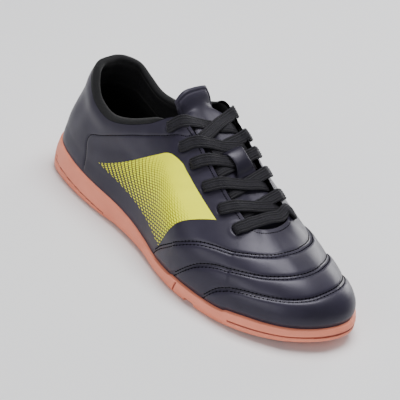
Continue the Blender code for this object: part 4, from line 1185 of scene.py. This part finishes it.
# how far past its own pair, in shares of the step to the next pair, each length lands on the far
# edge, and the share across where it tucks away
OUTER_REACH = ((0.95, 0.93), (1.10, 0.93), (0.75, 0.93), (0.70, 0.93), (0.70, 0.93), (0.70, 0.93))
INNER_REACH = ((1.35, 0.76), (1.15, 0.70), (0.95, 0.93), (0.80, 0.93), (0.70, 0.93), (0.70, 0.93))


def straight_strand(near, far, side, level, bulk=1.0):
    """Marks of one taut lace length, straight seen from above, from its hole to under the far edge."""
    here, there, reaches = "outer", "inner", OUTER_REACH
    if side < 0:
        here, there, reaches = "inner", "outer", INNER_REACH
    s, up = column(EYELETS, here)[near], column(EYELETS, here + "_up")[near]
    row = column(EYELETS, "row")[near]
    wide, thick = LACE_WIDE * 1.07, LACE_THICK * 1.10
    rest = GAP * 2 + thick / 2
    both = near == far
    stops = column(EYELETS, there)
    reach, stop = reaches[near]
    far_s = stops[near] + (stops[far] - stops[near]) * reach
    place, normal = over_upper(s, up, 0.0)
    end, end_normal = over_upper(far_s, column(EYELETS, there + "_up")[far] if both else 1.0, 0.0)
    facing = unit(normal + end_normal + 2 * over_tongue(row, 0.5, 0.0)[1])
    way = unit(np.cross(end - place, facing))
    ss = np.linspace(s - 0.03, s + 0.03, 121)
    edge_s = np.interp(crossing(place, way, skin(ss, np.ones(121))[0]), np.arange(121), ss)
    ahead = unit((end - place) - normal * ((end - place) @ normal))
    marks = eyelet_marks(place, normal, ahead, wide, thick, bulk)
    mid_s, mid_up = s + (edge_s - s) * 0.62, up + (1 - up) * 0.62
    marks.append((*over_upper(mid_s, mid_up, rest * 1.25 * bulk), wide, thick * bulk))
    edge, edge_normal = over_upper(edge_s, 1.0, rest * bulk)
    marks.append((edge, edge_normal, wide, thick))

    def on_tongue(part, lift):
        share = part if side > 0 else 1.0 - part
        return over_tongue(tongue_row_at(place, way, share), share, lift)

    last, last_normal = over_upper(far_s, 1.0, rest) if both else on_tongue(stop, rest * 0.8)
    step = last - edge
    for v, part in ((0.28, 0.6), (0.54, 1.0), (0.80, 0.6)):
        low, low_normal = on_tongue(v * stop, rest)
        chord = edge + step * float(np.clip((low - edge) @ step / (step @ step), 0, 1))
        lift = max((chord - low) @ low_normal, 0.0) * 0.80 + level * thick * part
        marks.append((low + low_normal * max(lift, 0.0), low_normal, wide, thick))
    marks.append((last, last_normal, wide, thick))
    if both:
        back = unit((place - end) - end_normal * ((place - end) @ end_normal))
        return marks + eyelet_marks(end, end_normal, back, wide, thick)[::-1]
    marks.append((*on_tongue(stop + 0.06, rest * 0.7), wide * 0.95, thick))
    return marks


def build_laces():
    """Each CAD crossing's own pair of ribbed lace lengths, and the bar."""
    last = len(EYELETS) - 2
    groups = [("lace_bar", [straight_strand(last, last, 1, 0.9)])]
    for number in range(last):
        level = 0.55 if number > 0 else -0.55
        groups.append(("lace_cross_%d" % (last - number), [
            straight_strand(number, number + 1, 1, level, 1.35 if number == 2 else 1.0),
            straight_strand(number, number + 1, -1, -level),
        ]))
    for name, strands in groups:
        made = [fine_ribbon(marks) for marks in strands]
        faces = []
        first = 0
        for points, quads, _, _ in made:
            faces += [tuple(first + k for k in quad) for quad in quads]
            first += len(points)
        piece = mesh_piece(name + "_braid", np.vstack([m[0] for m in made]), faces, [LACE, LACE_GROOVE_SHADE],
                           uv=np.vstack([m[2] for m in made]), slots=sum((m[3] for m in made), []))
        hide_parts(name)


def build_eyelets():
    """Punched holes under the lace ends: sunk funnels whose near-black colour is painted shade in the holes.
    """
    points = []
    faces = []
    for a, b in eyelet_places():
        centre, normal = over_upper(a, b, 0.0)
        ahead = unit(over_upper(a + 0.002, b, 0.0)[0] - centre)
        up = np.cross(normal, ahead)
        faces += grid_faces(len(EYELET_RINGS), 20, True, first=len(points)).tolist()
        for radius, lift in EYELET_RINGS:
            for k in range(20):
                angle = k * math.pi / 10
                aside = ahead * math.cos(angle) + up * math.sin(angle)
                points.append(centre + aside * radius + normal * lift)
    piece = mesh_piece("eyelet_holes", points, faces, HOLE_SHADE_LEATHER)


def build_keeper():
    """Smooth leather strap over the third crossing, its ends lying down on the tongue."""
    top = GAP * 6 + LACE_THICK * 1.8 + 0.0010
    marks = []
    for row, share, wide in KEEPER_MARKS[1:]:
        point, normal = over_tongue(row, 0.60 + 0.05 * (5.9 - row), 0.0005 + top * share)
        marks.append((point, normal, KEEPER_WIDE * wide, 0.0014))
    points, faces = ribbon(marks, 60, 40, (0.45, 0.5), bow=0.0005)[:2]
    piece = mesh_piece("keeper_strap", points, faces, KEEPER_LEATHER)
    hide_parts("lace_keeper")


# footbed
def build_footbed():
    """Cloth-topped footbed with a moulded edge."""
    many = 360
    s = np.arange(many) / many
    bed = round_at(BED, s) + GAP
    out = np.column_stack([round_at(NORMAL_X, s), round_at(NORMAL_Y, s)])
    edge = np.column_stack([round_at(RING_X, s), round_at(RING_Y, s)])
    rows = []
    for step, high in ((0.0002, 0.0), (0.0, 0.5), (0.0003, 0.85), (0.0012, 1.0)):
        rows.append(np.column_stack([edge - out * (INSOLE_INSET + step), bed + INSOLE_THICK * high]))
    rim = rows[-1]
    spine = (rim + rim[-np.arange(many)]) / 2
    for u in np.linspace(0.06, 1.0, 22):
        row = rim * (1 - u) + spine * u
        row[:, 2] -= 0.0012 * ease(u / 0.5)
        rows.append(row)
    stack = np.array(rows)
    piece = mesh_piece("footbed", stack.reshape(-1, 3), grid_faces(len(stack), many, True), FOOTBED)
    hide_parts("insole")


# sole
WALL_COLUMNS = 1440
WALL_ROWS = 40
# section of the sole's top edge from the outside in: step inward and drop below the edge
LIP_SECTION = ((0.0001, 0.0006), (0.0003, 0.0002), (0.0008, 0.0), (0.0015, -0.0002), (0.0022, -0.0002),
               (0.0028, 0.0040))


def wall_high(s):
    """Height of the side wall at shares round."""
    return round_at(LIP, s) - round_at(FLOOR, s)


def wall_depth(s, up):
    """Depth of the moulded grooves of the side wall at shares round, at one share up."""
    depth = np.zeros(len(s))
    here = np.column_stack([s * RING_LENGTH, up * wall_high(s)])
    for start, end, low, top in SIDE_GROOVES[1:]:
        if abs(end - start) > 0.1:
            away = np.where((s > start) & (s < end), np.abs(up - low) * wall_high(s), 1.0)
        else:
            a = np.array([start * RING_LENGTH, low * float(wall_high(start))])
            step = np.array([end * RING_LENGTH, top * float(wall_high(end))]) - a
            u = np.clip(((here - a) @ step) / (step @ step), 0, 1)
            away = np.linalg.norm(here - a - u[:, None] * step, axis=1)
        depth = np.maximum(depth, SIDE_DEEP * 0.9 * bell(away, SIDE_SOFT))
    for start, end in EDGE_NOTCHES[1:]:
        ramp = np.clip((s - start) / NOTCH_RAMP, 0, 1) * np.clip((end - s) / NOTCH_RAMP, 0, 1)
        depth = depth + NOTCH_DEEP * ramp * np.clip(1 - up / NOTCH_HIGH, 0, 1)
    return depth


def inside(polygon, points):
    """Which points lie in a plan polygon."""
    x, y = points[:, 0], points[:, 1]
    hit = np.zeros(len(points), bool)
    for k in range(len(polygon)):
        (x0, y0), (x1, y1) = polygon[k], polygon[(k + 1) % len(polygon)]
        cross = (y0 > y) != (y1 > y)
        if y0 == y1:
            continue
        hit ^= cross & (x < (x1 - x0) * (y - y0) / (y1 - y0) + x0)
    return hit


def plan(table):
    """A tread table's line in loft metres."""
    return np.column_stack([(column(table, "along") - 0.5) * LENGTH, column(table, "across") * BALL_WIDTH])


def offset_loop(line, wide):
    """The line stepped sideways by wide, mitred."""
    after = unit(np.roll(line, -1, axis=0) - line)
    mid = unit(unit(line - np.roll(line, 1, axis=0)) + after)
    turn = np.clip((mid * after).sum(axis=1), 0.6, 1.0)[:, None]
    return line + np.column_stack([mid[:, 1], -mid[:, 0]]) * wide / turn


def area(line):
    """Signed area of a closed plan line."""
    x, y = line[:, 0], line[:, 1]
    return 0.5 * np.sum(x * np.roll(y, -1) - np.roll(x, -1) * y)


def grown(zone, wide):
    """A closed plan line stepped outward by wide."""
    return offset_loop(zone, wide if area(zone) > 0 else -wide)


def clip_to(polygon, a, b):
    """The parts of a plan segment that lie in a polygon."""
    cuts = [0.0, 1.0]
    step = b - a
    for k in range(len(polygon)):
        p, q = polygon[k], polygon[(k + 1) % len(polygon)]
        edge = q - p
        cross = step[0] * edge[1] - step[1] * edge[0]
        if abs(cross) < 1e-15:
            continue
        gap = p - a
        u = (gap[0] * edge[1] - gap[1] * edge[0]) / cross
        w = (gap[0] * step[1] - gap[1] * step[0]) / cross
        if 0 < u < 1 and 0 <= w <= 1:
            cuts.append(u)
    cuts = sorted(cuts)
    kept = []
    for u0, u1 in zip(cuts[:-1], cuts[1:]):
        if u1 - u0 > 1e-6 and inside(polygon, (a + step * (u0 + u1) / 2)[None])[0]:
            kept.append((a + step * u0, a + step * u1))
    return kept


# herringbone of each zone: pitch and width of its grooves along the shoe, and how far across the
# zigzag turns and how far along it swings
HERRINGBONE = (
    ("zone", "pitch", "wide", "swing", "turn", "from"),
    (0, 0.0054, 0.0021, 0.0100, 0.0125, -0.0080),
    (1, 0.0054, 0.0021, 0.0090, 0.0125, -0.0200),
    (2, 0.0056, 0.0022, 0.0110, 0.0150, -0.0240),
)
# fine grooves across the heel and ribs along both edges: plan boxes by share along and across
HEEL_FIELDS = (
    ("along", "to", "across", "wide", "pitch"),
    (0.070, 0.245, -0.155, 0.100, 0.0056),
    (0.030, 0.190, 0.100, 0.145, 0.0056),
)
EDGE_RIBS = (
    ("from", "to", "near", "far", "pitch"),
    (0.310, 0.445, 0.0030, 0.0085, 0.0032),
    (0.560, 0.705, 0.0030, 0.0105, 0.0032),
)


def zigzag(y, swing, turn, start):
    """Plan step along the shoe of a herringbone groove at a place across it."""
    phase = ((y - start) / turn) % 2.0
    return swing * np.where(phase < 1.0, phase, 2.0 - phase)


def side_wall():
    """Rows of the side wall from its foot over its top edge, and a slot for each of its faces, darker gum of
    painted shade in its grooves.
    """
    s = np.arange(WALL_COLUMNS) / WALL_COLUMNS
    out = np.column_stack([round_at(NORMAL_X, s), round_at(NORMAL_Y, s)])
    edge = np.column_stack([round_at(RING_X, s), round_at(RING_Y, s)])
    flare, floor, lip = (round_at(line, s) for line in (FLARE, FLOOR, LIP))
    rows = []
    slots = []
    for up in np.linspace(0, 0.955, WALL_ROWS):
        depth = wall_depth(s, up)
        bevel = 0.0010 * (1 - min(up / 0.07, 1.0)) ** 2
        lean = -flare * (1 - up) + 0.0012 * np.sin(np.pi * up) - bevel - depth
        rows.append(np.column_stack([edge + out * lean[:, None], floor + (lip - floor) * up]))
        # faces deep in the grooves and notches take the darker gum of painted shade
        slots.append(((depth > SIDE_DEEP * 0.40) & (up > 0.1)).astype(int))
    slots[-1][:] = 0
    for inset, drop in LIP_SECTION:
        rows.append(np.column_stack([edge - out * inset, lip - drop]))
        slots.append(np.zeros(WALL_COLUMNS, int))
    return np.array(rows), np.concatenate(slots[:-1]).tolist()


def round_rings():
    """Pairs of closed lines round the pivot's rings and the heel's bar."""
    turn = np.arange(36) / 36 * 2 * np.pi
    made = []
    rings = [(PIVOT, (radius, radius), 0.0006) for radius in PIVOT_RINGS]
    for place, size, half in rings + [(HEEL_BAR, HEEL_BAR_SIZE, 0.0005)]:
        centre = np.array([(place[0] - 0.5) * LENGTH, place[1] * BALL_WIDTH])
        made.append([centre + np.column_stack([np.cos(turn) * (size[0] + more),
                                               np.sin(turn) * (size[1] + more)])
                     for more in (half, -half)])
    return made


def zigzag_lines(field, pitch, wide, swing, turn, start):
    """Edges of a field's herringbone grooves, cut to the field."""
    low, top = field.min(axis=0), field.max(axis=0)
    turns = [y for y in (start + k * turn for k in range(-12, 13)) if low[1] < y < top[1]]
    ys = np.array([low[1]] + turns + [top[1]])
    made = []
    for k in range(math.floor((low[0] - swing) / pitch), math.ceil(top[0] / pitch) + 1):
        for shift in (-wide / 2, wide / 2):
            line = np.column_stack([k * pitch + shift + zigzag(ys, swing, turn, start), ys])
            for a, b in zip(line[:-1], line[1:]):
                made += clip_to(field, a, b)
    return made


def heel_strips(outline, zones):
    """Fine slanted grooves across the heel, clear of the zones."""
    made = []
    for along, to, across, wide, pitch in HEEL_FIELDS[1:]:
        x0, x1 = (along - 0.5) * LENGTH, (to - 0.5) * LENGTH
        y0, y1 = (across - wide) * BALL_WIDTH, (across + wide) * BALL_WIDTH
        lean = 0.12 * (y1 - y0)
        for k in range(int((x1 - x0) / pitch)):
            x = x0 + (k + 0.5) * pitch
            a, b = x - 0.0004, x + 0.0004
            corners = np.array([(a, y0), (a + lean, y1), (b + lean, y1), (b, y0)])
            if inside(outline, corners).all() and not any(inside(z, corners).any() for z in zones):
                made.append(corners)
    return made


def rib_strips(zones):
    """Short ribs square to both edges of the forefoot."""
    wider = [grown(zone, 0.002) for zone in zones]
    made = []
    for start, end, near, far, pitch in EDGE_RIBS[1:]:
        for q in np.arange(start, end, pitch / RING_LENGTH):
            at = int(q * FINE) % FINE
            base = np.array([RING_X[at], RING_Y[at]])
            out = np.array([NORMAL_X[at], NORMAL_Y[at]])
            way = np.array([-out[1], out[0]]) * 0.0005
            a = base - out * (near + FLARE[at])
            b = base - out * (far + FLARE[at])
            corners = np.array([a - way, b - way, b + way, a + way])
            if not any(inside(zone, corners).any() for zone in wider):
                made.append(corners)
    return made


def tread_lines(outline):
    """Plan lines that bound the carved parts, each closed or not, and a test for each part."""
    zones = [plan(zone) for zone in TREAD_ZONES]
    lines = []
    tests = []
    rings = [(grown(zone, TREAD_WIDE / 2), grown(zone, -TREAD_WIDE / 2)) for zone in zones]
    for outer, inner in rings + round_rings():
        lines += [(outer, True), (inner, True)]
        tests.append(("ring", outer, inner))
    for number, *pattern in HERRINGBONE[1:]:
        field = grown(zones[number], -(TREAD_WIDE / 2 + 0.0016))
        lines.append((field, True))
        lines += [(pair, False) for pair in zigzag_lines(field, *pattern)]
        tests.append(("zigzag", field, pattern))
    for corners in heel_strips(outline, zones) + rib_strips(zones):
        lines.append((corners, True))
        tests.append(("strip", corners, None))
    return lines, tests


def carved(middle, tests):
    """Which of the middles of the tread's triangles lie in a groove."""
    groove = np.zeros(len(middle), bool)
    for kind, field, more in tests:
        held = inside(field, middle)
        if kind == "ring":
            held &= ~inside(more, middle)
        elif kind == "zigzag":
            pitch, wide, swing, turn, start = more
            phase = middle[:, 0] - zigzag(middle[:, 1], swing, turn, start)
            held &= np.abs(phase - np.round(phase / pitch) * pitch) < wide / 2
        groove |= held
    return groove


def tread_plan(outline):
    """Corners and triangles of the underside in plan, and which triangles are carved."""
    count = len(outline)
    flat = [Vector(p) for p in outline]
    edges = [(k, (k + 1) % count) for k in range(count)]
    lines, tests = tread_lines(outline)
    for points, closed in lines:
        first = len(flat)
        many = len(points)
        flat.extend(Vector(p) for p in points)
        edges += [(first + k, first + (k + 1) % many) for k in range(many if closed else many - 1)]
    low, top = outline.min(axis=0), outline.max(axis=0)
    filler = np.meshgrid(np.arange(low[0], top[0], 0.0045), np.arange(low[1], top[1], 0.006))
    filler = np.column_stack([line.ravel() for line in filler])
    flat.extend(Vector(p) for p in filler[inside(grown(outline[::3], -0.0008), filler)])
    made = delaunay_2d_cdt(flat, edges, [], 0, 1e-7)
    verts = np.array([tuple(v) for v in made[0]])
    tris = np.array([f for f in made[2] if len(f) == 3])
    tris = tris[inside(outline, verts[tris].mean(axis=1))]
    return verts, tris, carved(verts[tris].mean(axis=1), tests)


def build_outsole():
    """Side wall with its moulded lines, top edge, and the carved tread, its grooves in darker gum as painted
    shade.
    """
    wall, wall_slots = side_wall()
    wall_faces = [tuple(f) for f in grid_faces(len(wall), WALL_COLUMNS, True)]
    verts, tris, groove = tread_plan(wall[0][::2, :2])
    height = along_profile("floor", verts[:, 0] / LENGTH + 0.5) * HEEL_WALL
    points = np.vstack([wall.reshape(-1, 3), np.column_stack([verts, height]),
                        np.column_stack([verts, height + TREAD_DEEP])])
    base = wall.shape[0] * WALL_COLUMNS
    many = len(verts)
    faces = []
    slots = []
    sides = {}
    # groove floors and the walls down into them take the darker gum of painted shade
    for tri, low_face in zip(tris.tolist(), groove.tolist()):
        a, b, c = (base + v + (many if low_face else 0) for v in tri)
        faces.append((a, c, b))
        slots.append(int(low_face))
        for p, q in ((tri[0], tri[1]), (tri[1], tri[2]), (tri[2], tri[0])):
            sides.setdefault((min(p, q), max(p, q)), []).append((low_face, p, q))
    for pair in sides.values():
        if len(pair) == 2 and pair[0][0] != pair[1][0]:
            _, p, q = pair[0] if pair[0][0] else pair[1]
            faces.append((base + p, base + q, base + q + many, base + p + many))
            slots.append(1)
    smooth = [True] * len(wall_faces) + [False] * len(faces)
    piece = mesh_piece("gum_outsole", points, wall_faces + faces, [GUM, GUM_GROOVE_SHADE], smooth=smooth,
                       slots=wall_slots + slots)
    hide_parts("sole")


# stage, camera, lights
CAMERA_TURN = (1.902, 0.98119, -0.33656)
CAMERA_STEP = (-4.01418, 33.74721, 1552.85177)
CAMERA_FOCAL = 2113.77003
PHOTO_WIDE = 400.0


def build_camera():
    """The photograph's camera, worked out from traced points of the shoe."""
    angle = math.sqrt(sum(v * v for v in CAMERA_TURN))
    turn = np.array(Matrix.Rotation(angle, 3, Vector(CAMERA_TURN) / angle))
    data = bpy.data.cameras.new("photo_camera")
    data.sensor_width = 36.0
    data.lens = CAMERA_FOCAL * 36.0 / PHOTO_WIDE
    data.clip_start = 0.05
    data.clip_end = 20.0
    camera = bpy.data.objects.new("photo_camera", data)
    bpy.context.scene.collection.objects.link(camera)
    world = np.eye(4)
    world[:3, :3] = (turn * np.array([[1], [-1], [-1]])).T
    world[:3, 3] = -turn.T @ np.array(CAMERA_STEP) / 1000 + SHIFT
    camera.matrix_world = Matrix(world.tolist())
    bpy.context.scene.camera = camera


def build_stage():
    """A wide, flat, plain pale floor."""
    mesh = bpy.data.meshes.new("studio_floor")
    mesh.from_pydata([(-6, -6, 0), (6, -6, 0), (6, 6, 0), (-6, 6, 0)], [], [(0, 1, 2, 3)])
    pale = look("studio_floor", (0.78, 0.78, 0.79), 0.75)
    blend_colour(pale, noise(pale, 2.0, 2.0), (0.77, 0.77, 0.78), (0.79, 0.79, 0.80))
    mesh.materials.append(pale)
    floor = bpy.data.objects.new("studio_floor", mesh)
    bpy.context.scene.collection.objects.link(floor)


def soft_light(name, place, aim, size, power):
    """A square soft light aimed at a point."""
    data = bpy.data.lights.new(name, "AREA")
    data.shape = "RECTANGLE"
    data.size = size[0]
    data.size_y = size[1]
    data.energy = power
    thing = bpy.data.objects.new(name, data)
    bpy.context.scene.collection.objects.link(thing)
    thing.location = place
    thing.rotation_mode = "QUATERNION"
    thing.rotation_quaternion = (Vector(aim) - Vector(place)).to_track_quat("-Z", "Y")


def build_lights():
    """Even studio light: a big box overhead, a low one on the inner side and a low fill outside."""
    world = bpy.data.worlds.new("studio")
    world.use_nodes = True
    back = world.node_tree.nodes["Background"]
    back.inputs["Color"].default_value = (0.80, 0.82, 0.86, 1.0)
    back.inputs["Strength"].default_value = 0.26
    bpy.context.scene.world = world
    soft_light("key_box", (-0.05, 0.16, 1.30), (0.03, 0.0, 0.05), (0.9, 0.6), 27.0)
    soft_light("rim_box", (-0.22, 1.15, 0.30), (0.06, 0.0, 0.05), (0.7, 0.45), 8.0)
    soft_light("side_fill", (0.30, -1.20, 0.55), (0.02, 0.0, 0.05), (0.9, 0.6), 7.0)


build_shell()
build_lining()
build_stitches()
build_field()
build_tongue()
build_laces()
build_eyelets()
build_keeper()
build_footbed()
build_outsole()
build_camera()
build_stage()
build_lights()
